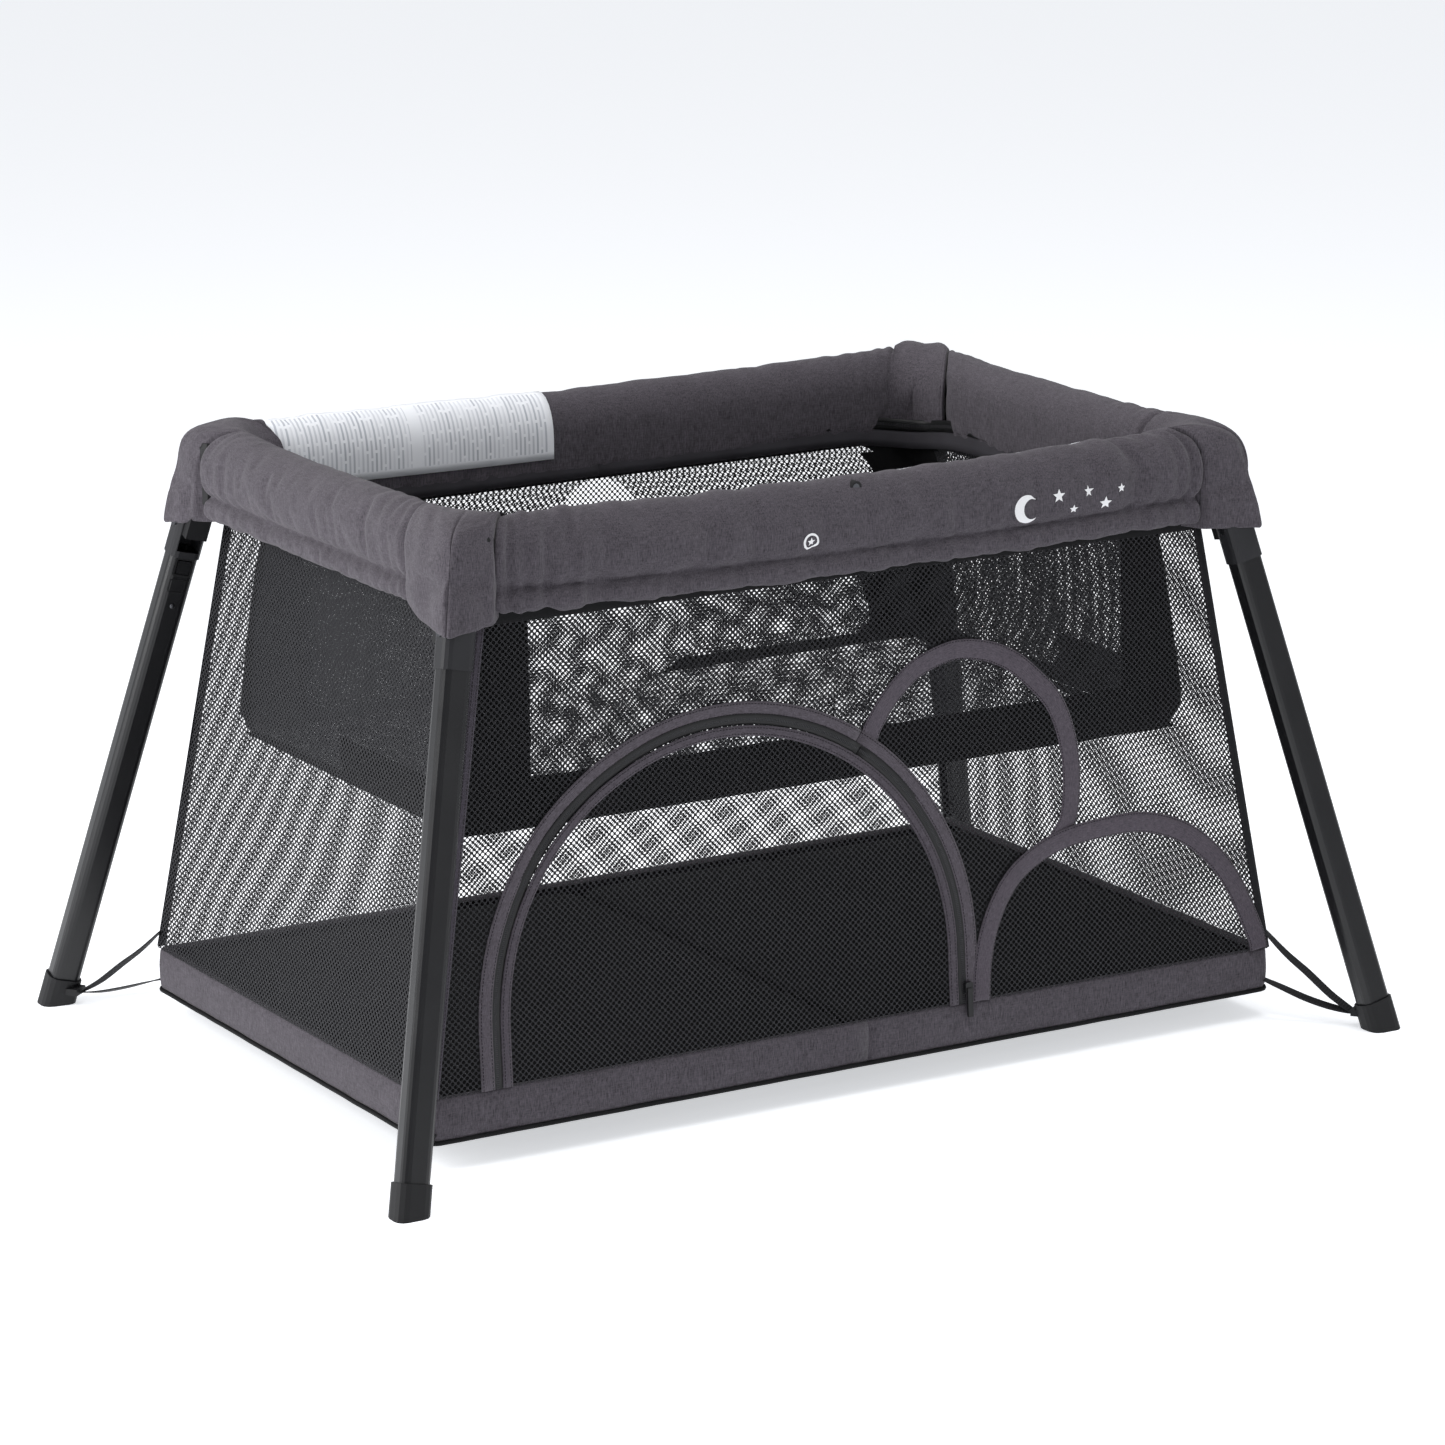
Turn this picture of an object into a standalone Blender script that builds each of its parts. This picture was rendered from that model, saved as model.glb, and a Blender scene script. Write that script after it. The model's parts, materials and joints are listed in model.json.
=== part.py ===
"""Folding playpen with a hanging bassinet, four splayed legs and a zipped side door.

Metres, +Z up. The origin is on the floor under the middle of the pen. The long sides run along X,
and the zipped door is in the -Y side. The frame is two halves that meet at x = 0: each half carries
two legs, its half of the padded rail, of the mesh walls, of the base and of the bassinet.
"""
import math

import bmesh
import bpy
from mathutils import Matrix, Vector

# ---------------------------------------------------------------- driving sizes

TOTAL_HEIGHT = 0.640          # floor to the top of the padded rail
RAIL_HALF_LENGTH = 0.435      # middle of the pen to the centre line of an end rail
RAIL_HALF_WIDTH = 0.268       # middle of the pen to the centre line of a long rail

RAIL_TUBE_RADIUS = 0.013
RAIL_TUBE_WALL = 0.0012
RAIL_TUBE_DEPTH = 0.034       # pad top down to the tube's centre line

PAD_WIDTH = 0.057
PAD_HEIGHT = 0.097
PAD_TOP_ROUND = 0.022
PAD_BOTTOM_ROUND = 0.006
PAD_COVER = 0.013             # foam over the channel that the tube runs in

CAP_HEIGHT = 0.108            # top of the cap to the lower edge of its skirt
CAP_OVERHANG = 0.0055         # cap top beyond the pad's outer face
CAP_CORNER = 0.015            # radius of the cap's upright corner
CAP_ROUND = 0.013             # radius of the cap's top edges
CAP_WALL = 0.0025

HUB_HEIGHT = 0.066
HUB_CORNER = 0.009            # radius of the hub's upright edges
HUB_ROUND = 0.007             # radius of the hub's top edges
HUB_SKIN = 0.003              # plastic round the tube sockets
HUB_SLACK = 0.006             # room for the soft lining between the hub and the cap

HINGE_DROP = 0.0185           # pad top down to the centre hinge's axis
KNUCKLE_RADIUS = 0.0065
KNUCKLE_WIDTH = 0.012
BRACKET_LENGTH = 0.055
BRACKET_SKIN = 0.003
HINGE_PIN_RADIUS = 0.004

PIVOT_DROP = 0.107            # pad top down to a leg's pivot
PIVOT_OUT_LENGTH = PAD_WIDTH / 2 - 0.0075    # pivot beyond the end rail's centre line
PIVOT_OUT_WIDTH = PAD_WIDTH / 2 - 0.0045     # pivot beyond the long rail's centre line
PIVOT_PIN_RADIUS = 0.004
PIVOT_HEAD_RADIUS = 0.0065
PIVOT_HEAD_HEIGHT = 0.0018

FOOT_OUT_LENGTH = 0.141       # foot beyond the end rail's centre line
FOOT_OUT_WIDTH = 0.137        # foot beyond the long rail's centre line
FRONT_FOLD_DROP = math.radians(22)    # a folded front leg below the horizontal
REAR_FOLD_DROP = math.radians(12)     # a folded rear leg below the horizontal
FRONT_FOLD_YAW = math.radians(3.5)    # a folded front leg turned out from the end rail
REAR_FOLD_YAW = math.radians(7)       # a folded rear leg turned out from the end rail

LEG_WIDTH = 0.032
CAP_FLARE = LEG_WIDTH - 0.020 # lower edge of the cap's skirt beyond its top, to clear the leg
CAP_LENGTH = 0.063 + CAP_FLARE    # corner cap along each rail, at its lower edge
LEG_DEPTH = 0.026
LEG_ROUND = 0.008
LEG_WALL = 0.0016
LEG_TUBE_START = 0.030        # pivot to the upper end of the leg tube
LEG_TUBE_STOP = 0.016         # lower end of the leg tube to the floor, along the leg

SLEEVE_SKIN = 0.0012          # sleeve outside the leg tube
SLEEVE_CHEEK = 0.005
SLEEVE_FRONT = 0.0025
SLEEVE_CROWN = 0.0075         # rounding of the sleeve's cheeks round the pivot
SLEEVE_END = 0.037            # pivot to the lower end of the sleeve
LUG_REACH = 0.026             # hub lug beyond the pivot, on the side the leg folds to
LUG_RISE = 0.040              # hub lug above the pivot

BUTTON_SIZE = 0.0144
BUTTON_DEPTH = 0.007
BUTTON_PROUD = 0.0014
BUTTON_DROP = 0.047           # pivot to the middle of the release button

FOOT_SKIN = 0.0025
FOOT_HEIGHT = 0.032           # along the leg
STRAP_EYE_LENGTH = 0.012
STRAP_EYE_WIDTH = 0.020
STRAP_EYE_HEIGHT = 0.007
STRAP_EYE_LIFT = 0.016        # middle of the strap eye above the floor

STRAP_WIDTH = 0.013
STRAP_THICKNESS = 0.0018
STRAP_UPPER = 0.095           # upper strap end above the floor
STRAP_LOWER = 0.040           # lower strap end above the floor

BASE_OUT_LENGTH = 0.066       # base band beyond the end rail's centre line
BASE_OUT_WIDTH = 0.039        # base band beyond the long rail's centre line
BASE_TOP = 0.074
BASE_BOTTOM = 0.026
BASE_SKIN = 0.003
BASE_ROUND = 0.012

WALL_IN_LENGTH = RAIL_TUBE_RADIUS - 0.001    # mesh wall top inside the end rail's centre line
WALL_OUT_WIDTH = 0.005        # mesh wall top outside the long rail's centre line
WALL_TOP_DROP = 0.092         # pad top down to the upper edge of the mesh walls
WALL_SKIN = 0.002

MATTRESS_THICKNESS = 0.043
MATTRESS_ROUND = 0.008

BASSINET_RIM_DROP = 0.087     # pad top down to the bassinet's upper edge
BASSINET_DEPTH = 0.241
BASSINET_FLARE_LENGTH = 0.033
BASSINET_FLARE_WIDTH = 0.008
BASSINET_SKIN = 0.002
BASSINET_ROUND = 0.028

DOOR_CENTRE = -0.155          # door arch centre along X
DOOR_RADIUS = 0.270
DOOR_SPRING_HEIGHT = 0.058    # base band up to the centre of the arch
SLIDER_ANGLE = math.radians(-8.5)    # zip slider round the arch, from +X
SLIDER_LENGTH = 0.012
SLIDER_WIDTH = 0.009
SLIDER_HEIGHT = 0.005
PULL_LENGTH = 0.024
PULL_WIDTH = 0.006
PULL_THICKNESS = 0.002

TOUCH = 0.0005                # gap between pieces that touch
FIT = 0.0003                  # gap round a pin or a tube in its socket
SEAM = 0.0008                 # half the gap between the two halves, and round the door
EASY = 0.002                  # clearance round things that pass each other

# ---------------------------------------------------------------- derived sizes

RAIL_Z = TOTAL_HEIGHT - RAIL_TUBE_DEPTH
PAD_BOTTOM = TOTAL_HEIGHT - PAD_HEIGHT
HINGE_Z = TOTAL_HEIGHT - HINGE_DROP
PIVOT_Z = TOTAL_HEIGHT - PIVOT_DROP
PIVOT_X = RAIL_HALF_LENGTH + PIVOT_OUT_LENGTH
PIVOT_Y = RAIL_HALF_WIDTH + PIVOT_OUT_WIDTH
FOOT_X = RAIL_HALF_LENGTH + FOOT_OUT_LENGTH
FOOT_Y = RAIL_HALF_WIDTH + FOOT_OUT_WIDTH
BASE_X = RAIL_HALF_LENGTH + BASE_OUT_LENGTH
BASE_Y = RAIL_HALF_WIDTH + BASE_OUT_WIDTH
PAD_INNER_X = RAIL_HALF_LENGTH - PAD_WIDTH / 2
PAD_INNER_Y = RAIL_HALF_WIDTH - PAD_WIDTH / 2
CAP_TOP_X = RAIL_HALF_LENGTH + PAD_WIDTH / 2 + CAP_OVERHANG
CAP_TOP_Y = RAIL_HALF_WIDTH + PAD_WIDTH / 2 + CAP_OVERHANG
CAP_BOTTOM = TOTAL_HEIGHT - CAP_HEIGHT
CHANNEL_HALF = RAIL_TUBE_RADIUS + EASY
CHANNEL_TOP = TOTAL_HEIGHT - PAD_COVER

# ---------------------------------------------------------------- scene and helpers

for old in list(bpy.data.objects):
    bpy.data.objects.remove(old, do_unlink=True)

pen_collection = bpy.data.collections.new("folding_playpen")
cutter_collection = bpy.data.collections.new("cutters")
bpy.context.scene.collection.children.link(pen_collection)
bpy.context.scene.collection.children.link(cutter_collection)


def make_material(name, colour, roughness, metallic=0.0):
    """A Principled material with one colour."""
    material = bpy.data.materials.new(name)
    material.use_nodes = True
    shader = material.node_tree.nodes["Principled BSDF"]
    shader.inputs["Base Color"].default_value = (colour[0], colour[1], colour[2], 1.0)
    shader.inputs["Roughness"].default_value = roughness
    shader.inputs["Metallic"].default_value = metallic
    material.diffuse_color = (colour[0], colour[1], colour[2], 1.0)
    return material


def new_object(name, mesh_builder, material=None):
    """Turn a bmesh into an object: a part when it has a material, and a cutter when it has none."""
    mesh = bpy.data.meshes.new(name)
    bmesh.ops.recalc_face_normals(mesh_builder, faces=mesh_builder.faces)
    mesh_builder.to_mesh(mesh)
    mesh_builder.free()
    thing = bpy.data.objects.new(name, mesh)
    if material is None:
        cutter_collection.objects.link(thing)
        thing.hide_render = True
        thing.display_type = "WIRE"
    else:
        pen_collection.objects.link(thing)
        mesh.materials.append(material)
    return thing


def box_mesh(low, high):
    """A box between two opposite corners."""
    mesh = bmesh.new()
    bmesh.ops.create_cube(mesh, size=1.0)
    size = [high[i] - low[i] for i in range(3)]
    middle = [(high[i] + low[i]) / 2 for i in range(3)]
    bmesh.ops.scale(mesh, vec=size, verts=mesh.verts)
    bmesh.ops.translate(mesh, vec=middle, verts=mesh.verts)
    return mesh


def cylinder_mesh(radius, start, end, axis, sides=20):
    """A round bar along X, Y or Z between two positions on that axis."""
    mesh = bmesh.new()
    bmesh.ops.create_cone(mesh, cap_ends=True, segments=sides, radius1=radius, radius2=radius,
                          depth=end - start)
    bmesh.ops.translate(mesh, vec=(0, 0, (start + end) / 2), verts=mesh.verts)
    if axis == "X":
        turn = Matrix.Rotation(math.radians(90), 3, "Y")
        bmesh.ops.rotate(mesh, cent=(0, 0, 0), matrix=turn, verts=mesh.verts)
    if axis == "Y":
        turn = Matrix.Rotation(math.radians(-90), 3, "X")
        bmesh.ops.rotate(mesh, cent=(0, 0, 0), matrix=turn, verts=mesh.verts)
    return mesh


def round_edges(mesh, radius, segments, chosen):
    """Bevel the edges for which chosen(middle, direction) is true."""
    edges = []
    for edge in mesh.edges:
        ends = edge.verts[1].co - edge.verts[0].co
        if chosen((edge.verts[0].co + edge.verts[1].co) / 2, ends.normalized()):
            edges.append(edge)
    bmesh.ops.bevel(mesh, geom=edges, offset=radius, segments=segments, profile=0.5,
                    affect="EDGES", material=-1)


def subtract(thing, cutter, operation="DIFFERENCE"):
    """Boolean modifier on thing, with its own cutter."""
    step = thing.modifiers.new(cutter.name, "BOOLEAN")
    step.operation = operation
    step.solver = "EXACT"
    step.object = cutter


def thicken(thing, thickness):
    """Solidify an open surface inwards."""
    step = thing.modifiers.new("skin", "SOLIDIFY")
    step.thickness = thickness
    step.offset = -1.0
    step.use_even_offset = True


def smooth_round(thing):
    """Smooth shading on a round piece, with its sharp edges kept."""
    thing.data.shade_smooth()
    thing.data.set_sharp_from_angle(angle=math.radians(35))


def place(thing, location, parent=None):
    """Set a location, in the parent's frame where there is one."""
    thing.location = location
    if parent is not None:
        thing.parent = parent


def open_tube(length, radius, name, material, wall):
    """A tube along Z with open ends, centred on the origin."""
    mesh = bmesh.new()
    bmesh.ops.create_cone(mesh, cap_ends=False, segments=20, radius1=radius, radius2=radius,
                          depth=length)
    tube = new_object(name, mesh, material)
    thicken(tube, wall)
    smooth_round(tube)
    return tube


# ---------------------------------------------------------------- materials

aluminium = make_material("black_anodised_aluminium", (0.012, 0.012, 0.014), 0.38, 0.9)
frame_steel = make_material("grey_steel_tube", (0.16, 0.16, 0.17), 0.4, 1.0)
hub_plastic = make_material("black_moulded_nylon", (0.020, 0.020, 0.022), 0.55)
sleeve_plastic = make_material("charcoal_moulded_nylon", (0.040, 0.040, 0.043), 0.5)
button_plastic = make_material("black_button_plastic", (0.010, 0.010, 0.011), 0.35)
pin_steel = make_material("dark_plated_steel", (0.10, 0.10, 0.11), 0.35, 1.0)
heather = make_material("heather_polyester", (0.095, 0.085, 0.100), 0.9)
wall_mesh = make_material("black_polyester_mesh", (0.014, 0.014, 0.016), 0.85)
lining = make_material("black_lining_cloth", (0.012, 0.012, 0.013), 0.85)
webbing = make_material("black_webbing", (0.009, 0.009, 0.010), 0.8)
zip_metal = make_material("black_zip_metal", (0.03, 0.03, 0.03), 0.4, 0.8)

# ---------------------------------------------------------------- frames that parts hang from

fold_frame = bpy.data.objects.new("frame_fold_axis", None)
pen_collection.objects.link(fold_frame)
fold_frame.location = (0, 0, HINGE_Z)
END_SIDES = (("left", -1), ("right", 1))
LONG_SIDES = (("front", -1), ("rear", 1))


def half_parent(thing, side, location):
    """The right half hangs from the fold axis, and the left half stands in the world."""
    if side > 0:
        shifted = (location[0], location[1], location[2] - HINGE_Z)
        place(thing, shifted, fold_frame)
    else:
        place(thing, location)


def leg_direction(side_x, side_y):
    """Unit vector down an open leg, from its pivot to its foot."""
    run = (side_x * (FOOT_X - PIVOT_X), side_y * (FOOT_Y - PIVOT_Y), -PIVOT_Z)
    return Vector(run).normalized()


def folded_direction(side_x, side_y):
    """Unit vector down a folded leg. It lies under the end rail and points to the other leg."""
    drop = FRONT_FOLD_DROP if side_y < 0 else REAR_FOLD_DROP
    yaw = FRONT_FOLD_YAW if side_y < 0 else REAR_FOLD_YAW
    level = math.cos(drop)
    across = -side_y * math.cos(yaw) * level
    return Vector((side_x * math.sin(yaw) * level, across, -math.sin(drop)))


def leg_axis(side_x, side_y):
    """Hinge axis of a leg. A positive turn folds the leg."""
    return leg_direction(side_x, side_y).cross(folded_direction(side_x, side_y)).normalized()


def leg_matrix(side_x, side_y):
    """Leg frame: origin on the pivot, X on the hinge axis, Z up the leg, Y to the folding side."""
    x_axis = leg_axis(side_x, side_y)
    z_axis = -leg_direction(side_x, side_y)
    y_axis = z_axis.cross(x_axis)
    turn = Matrix((x_axis, y_axis, z_axis)).transposed().to_4x4()
    return Matrix.Translation((side_x * PIVOT_X, side_y * PIVOT_Y, PIVOT_Z)) @ turn


# ---------------------------------------------------------------- rail tubes

HUB_INNER_X = PAD_INNER_X + CAP_WALL + EASY / 2
HUB_INNER_Y = PAD_INNER_Y + CAP_WALL + EASY / 2
LONG_TUBE_START = BRACKET_LENGTH / 3
LONG_TUBE_END = RAIL_HALF_LENGTH - RAIL_TUBE_RADIUS - HUB_SKIN
END_TUBE_HALF = RAIL_HALF_WIDTH - RAIL_TUBE_RADIUS - HUB_SKIN / 2

for side_name, side_y in LONG_SIDES:
    for end_name, side_x in END_SIDES:
        length = LONG_TUBE_END - LONG_TUBE_START
        tube = open_tube(length, RAIL_TUBE_RADIUS, "rail_tube_" + side_name + "_" + end_name,
                         frame_steel, RAIL_TUBE_WALL)
        tube.rotation_euler = (0, math.radians(90), 0)
        middle = side_x * (LONG_TUBE_START + LONG_TUBE_END) / 2
        half_parent(tube, side_x, (middle, side_y * RAIL_HALF_WIDTH, RAIL_Z))

for end_name, side_x in END_SIDES:
    tube = open_tube(END_TUBE_HALF * 2, RAIL_TUBE_RADIUS, "rail_tube_end_" + end_name,
                     frame_steel, RAIL_TUBE_WALL)
    tube.rotation_euler = (math.radians(90), 0, 0)
    half_parent(tube, side_x, (side_x * RAIL_HALF_LENGTH, 0, RAIL_Z))

# ---------------------------------------------------------------- leg frames

SLEEVE_WIDTH = LEG_WIDTH + 2 * SLEEVE_SKIN
SLEEVE_DEPTH = LEG_DEPTH + 2 * SLEEVE_SKIN
LUG_HALF_WIDTH = SLEEVE_WIDTH / 2 - SLEEVE_CHEEK - TOUCH
LUG_CLEAR = SLEEVE_DEPTH / 2 - SLEEVE_FRONT - TOUCH
LEG_LENGTH = Vector((FOOT_X - PIVOT_X, FOOT_Y - PIVOT_Y, PIVOT_Z)).length

leg_frames = {}
for side_name, side_y in LONG_SIDES:
    for end_name, side_x in END_SIDES:
        key = side_name + "_" + end_name
        empty = bpy.data.objects.new("leg_pivot_" + key, None)
        pen_collection.objects.link(empty)
        empty.matrix_world = leg_matrix(side_x, side_y)
        leg_frames[key] = empty

# ---------------------------------------------------------------- corner hubs

HUB_TOP = TOTAL_HEIGHT - PAD_COVER - CAP_WALL
HUB_OUTER_X = CAP_TOP_X - CAP_WALL - HUB_SLACK
HUB_OUTER_Y = CAP_TOP_Y - CAP_WALL - HUB_SLACK

for side_name, side_y in LONG_SIDES:
    for end_name, side_x in END_SIDES:
        key = side_name + "_" + end_name
        low_x = min(side_x * HUB_INNER_X, side_x * HUB_OUTER_X)
        high_x = max(side_x * HUB_INNER_X, side_x * HUB_OUTER_X)
        low_y = min(side_y * HUB_INNER_Y, side_y * HUB_OUTER_Y)
        high_y = max(side_y * HUB_INNER_Y, side_y * HUB_OUTER_Y)
        block = box_mesh((low_x, low_y, HUB_TOP - HUB_HEIGHT), (high_x, high_y, HUB_TOP))
        round_edges(block, HUB_CORNER, 2, lambda middle, way: abs(way.z) > 0.9)
        round_edges(block, HUB_ROUND, 2, lambda middle, way: middle.z > HUB_TOP - TOUCH)
        hub = new_object("corner_hub_" + key, block, hub_plastic)

        # The lug comes down from the hub, and the leg's sleeve straddles it.
        lug = box_mesh((-LUG_HALF_WIDTH, -LUG_CLEAR, -LUG_CLEAR),
                       (LUG_HALF_WIDTH, LUG_REACH, LUG_RISE))
        round_edges(lug, LUG_CLEAR * 0.96, 5,
                    lambda middle, way: abs(way.x) > 0.9 and middle.y < 0 and middle.z < 0)
        lug_cutter = new_object("lug_" + key, lug)
        lug_cutter.parent = leg_frames[key]
        subtract(hub, lug_cutter, "UNION")

        long_socket = cylinder_mesh(RAIL_TUBE_RADIUS + FIT, HUB_INNER_X - EASY,
                                    LONG_TUBE_END + FIT, "X")
        bmesh.ops.scale(long_socket, vec=(side_x, 1, 1), verts=long_socket.verts)
        long_cutter = new_object("long_socket_" + key, long_socket)
        long_cutter.location = (0, side_y * RAIL_HALF_WIDTH, RAIL_Z)
        subtract(hub, long_cutter)

        end_socket = cylinder_mesh(RAIL_TUBE_RADIUS + FIT, HUB_INNER_Y - EASY,
                                   END_TUBE_HALF + FIT, "Y")
        bmesh.ops.scale(end_socket, vec=(1, side_y, 1), verts=end_socket.verts)
        end_cutter = new_object("end_socket_" + key, end_socket)
        end_cutter.location = (side_x * RAIL_HALF_LENGTH, 0, RAIL_Z)
        subtract(hub, end_cutter)

        bore = cylinder_mesh(PIVOT_PIN_RADIUS + FIT, -SLEEVE_WIDTH, SLEEVE_WIDTH, "X", 16)
        bore_cutter = new_object("pivot_bore_" + key, bore)
        bore_cutter.parent = leg_frames[key]
        subtract(hub, bore_cutter)

# ---------------------------------------------------------------- centre hinges

BRACKET_TOP = HINGE_Z - EASY
BRACKET_BOTTOM = RAIL_Z - RAIL_TUBE_RADIUS - BRACKET_SKIN
BRACKET_HALF_WIDTH = CHANNEL_HALF - TOUCH
OUTER_KNUCKLE = (BRACKET_HALF_WIDTH - KNUCKLE_WIDTH / 2 - TOUCH)

for side_name, side_y in LONG_SIDES:
    for end_name, side_x in END_SIDES:
        key = side_name + "_" + end_name
        low_x = min(side_x * SEAM, side_x * BRACKET_LENGTH)
        high_x = max(side_x * SEAM, side_x * BRACKET_LENGTH)
        block = box_mesh((low_x, -BRACKET_HALF_WIDTH, BRACKET_BOTTOM - HINGE_Z),
                         (high_x, BRACKET_HALF_WIDTH, BRACKET_TOP - HINGE_Z))
        bracket = new_object("centre_bracket_" + key, block, hub_plastic)
        half_parent(bracket, side_x, (0, side_y * RAIL_HALF_WIDTH, HINGE_Z))

        # The left bracket has the middle knuckle, and the right one the two outer knuckles.
        middle_span = (-KNUCKLE_WIDTH / 2, KNUCKLE_WIDTH / 2)
        near_span = (-BRACKET_HALF_WIDTH, -BRACKET_HALF_WIDTH + OUTER_KNUCKLE)
        far_span = (BRACKET_HALF_WIDTH - OUTER_KNUCKLE, BRACKET_HALF_WIDTH)
        own = (middle_span,) if side_x < 0 else (near_span, far_span)
        other = (near_span, far_span) if side_x < 0 else (middle_span,)
        for number, span in enumerate(other):
            grow = TOUCH * 0.9
            notch = cylinder_mesh(KNUCKLE_RADIUS + TOUCH, span[0] - grow, span[1] + grow, "Y", 24)
            notch_cutter = new_object("notch_" + key + "_" + str(number), notch)
            half_parent(notch_cutter, side_x, (0, side_y * RAIL_HALF_WIDTH, HINGE_Z))
            subtract(bracket, notch_cutter)
        for number, span in enumerate(own):
            knuckle = cylinder_mesh(KNUCKLE_RADIUS, span[0], span[1], "Y", 24)
            knuckle_cutter = new_object("knuckle_" + key + "_" + str(number), knuckle)
            half_parent(knuckle_cutter, side_x, (0, side_y * RAIL_HALF_WIDTH, HINGE_Z))
            subtract(bracket, knuckle_cutter, "UNION")

        bore = cylinder_mesh(HINGE_PIN_RADIUS + FIT, -PAD_WIDTH, PAD_WIDTH, "Y", 16)
        bore_cutter = new_object("hinge_bore_" + key, bore)
        half_parent(bore_cutter, side_x, (0, side_y * RAIL_HALF_WIDTH, HINGE_Z))
        subtract(bracket, bore_cutter)

        socket = cylinder_mesh(RAIL_TUBE_RADIUS + FIT, LONG_TUBE_START - FIT,
                               BRACKET_LENGTH * 1.5, "X")
        bmesh.ops.scale(socket, vec=(side_x, 1, 1), verts=socket.verts)
        socket_cutter = new_object("rail_socket_" + key, socket)
        half_parent(socket_cutter, side_x, (0, side_y * RAIL_HALF_WIDTH, RAIL_Z))
        subtract(bracket, socket_cutter)

    pin = new_object("centre_pin_" + side_name,
                     cylinder_mesh(HINGE_PIN_RADIUS, -BRACKET_HALF_WIDTH, BRACKET_HALF_WIDTH, "Y", 16),
                     pin_steel)
    smooth_round(pin)
    place(pin, (0, side_y * RAIL_HALF_WIDTH, HINGE_Z))

# ---------------------------------------------------------------- long rail pads

for side_name, side_y in LONG_SIDES:
    for end_name, side_x in END_SIDES:
        key = side_name + "_" + end_name
        inner = side_x * SEAM
        outer = side_x * (PAD_INNER_X - 2 * TOUCH)
        block = box_mesh((min(inner, outer), -PAD_WIDTH / 2, PAD_BOTTOM),
                         (max(inner, outer), PAD_WIDTH / 2, TOTAL_HEIGHT - TOUCH))
        top_edge = PAD_BOTTOM + PAD_HEIGHT / 2
        round_edges(block, PAD_TOP_ROUND, 4,
                    lambda middle, way: abs(way.x) > 0.9 and middle.z > top_edge)
        round_edges(block, PAD_BOTTOM_ROUND, 1,
                    lambda middle, way: abs(way.x) > 0.9 and middle.z < PAD_BOTTOM + TOUCH)
        pad = new_object("rail_pad_" + key, block, heather)
        half_parent(pad, side_x, (0, side_y * RAIL_HALF_WIDTH, 0))

        channel = box_mesh((-RAIL_HALF_LENGTH, -CHANNEL_HALF, CAP_BOTTOM),
                           (RAIL_HALF_LENGTH, CHANNEL_HALF, CHANNEL_TOP))
        channel_cutter = new_object("pad_channel_" + key, channel)
        channel_cutter.location = (0, side_y * RAIL_HALF_WIDTH, 0)
        subtract(pad, channel_cutter)

        crown = box_mesh((-KNUCKLE_RADIUS - EASY, -CHANNEL_HALF, RAIL_Z),
                         (KNUCKLE_RADIUS + EASY, CHANNEL_HALF, HINGE_Z + KNUCKLE_RADIUS + EASY / 2))
        crown_cutter = new_object("knuckle_room_" + key, crown)
        crown_cutter.location = (0, side_y * RAIL_HALF_WIDTH, 0)
        subtract(pad, crown_cutter)

# ---------------------------------------------------------------- end rail pads with corner caps


def cap_form(inset, top, bottom, side_x, side_y):
    """A corner cap block, or the room inside it, with its outer faces flared towards the floor."""
    inner_x = PAD_INNER_X - TOUCH + inset
    inner_y = CAP_TOP_Y + CAP_FLARE - CAP_LENGTH + inset
    block = box_mesh((inner_x, inner_y, bottom), (CAP_TOP_X - inset, CAP_TOP_Y - inset, top))
    middle_x = (inner_x + CAP_TOP_X) / 2
    middle_y = (inner_y + CAP_TOP_Y) / 2
    flare = CAP_FLARE * (top - bottom) / CAP_HEIGHT
    for vert in block.verts:
        if vert.co.z < (top + bottom) / 2:
            vert.co.x += flare if vert.co.x > middle_x else 0.0
            vert.co.y += flare if vert.co.y > middle_y else 0.0
    round_edges(block, CAP_CORNER - inset, 3,
                lambda middle, way: abs(way.z) > 0.9 and middle.x > middle_x and middle.y > middle_y)
    round_edges(block, CAP_ROUND - inset, 3, lambda middle, way: middle.z > top - TOUCH)
    bmesh.ops.scale(block, vec=(side_x, side_y, 1), verts=block.verts)
    return block


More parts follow.
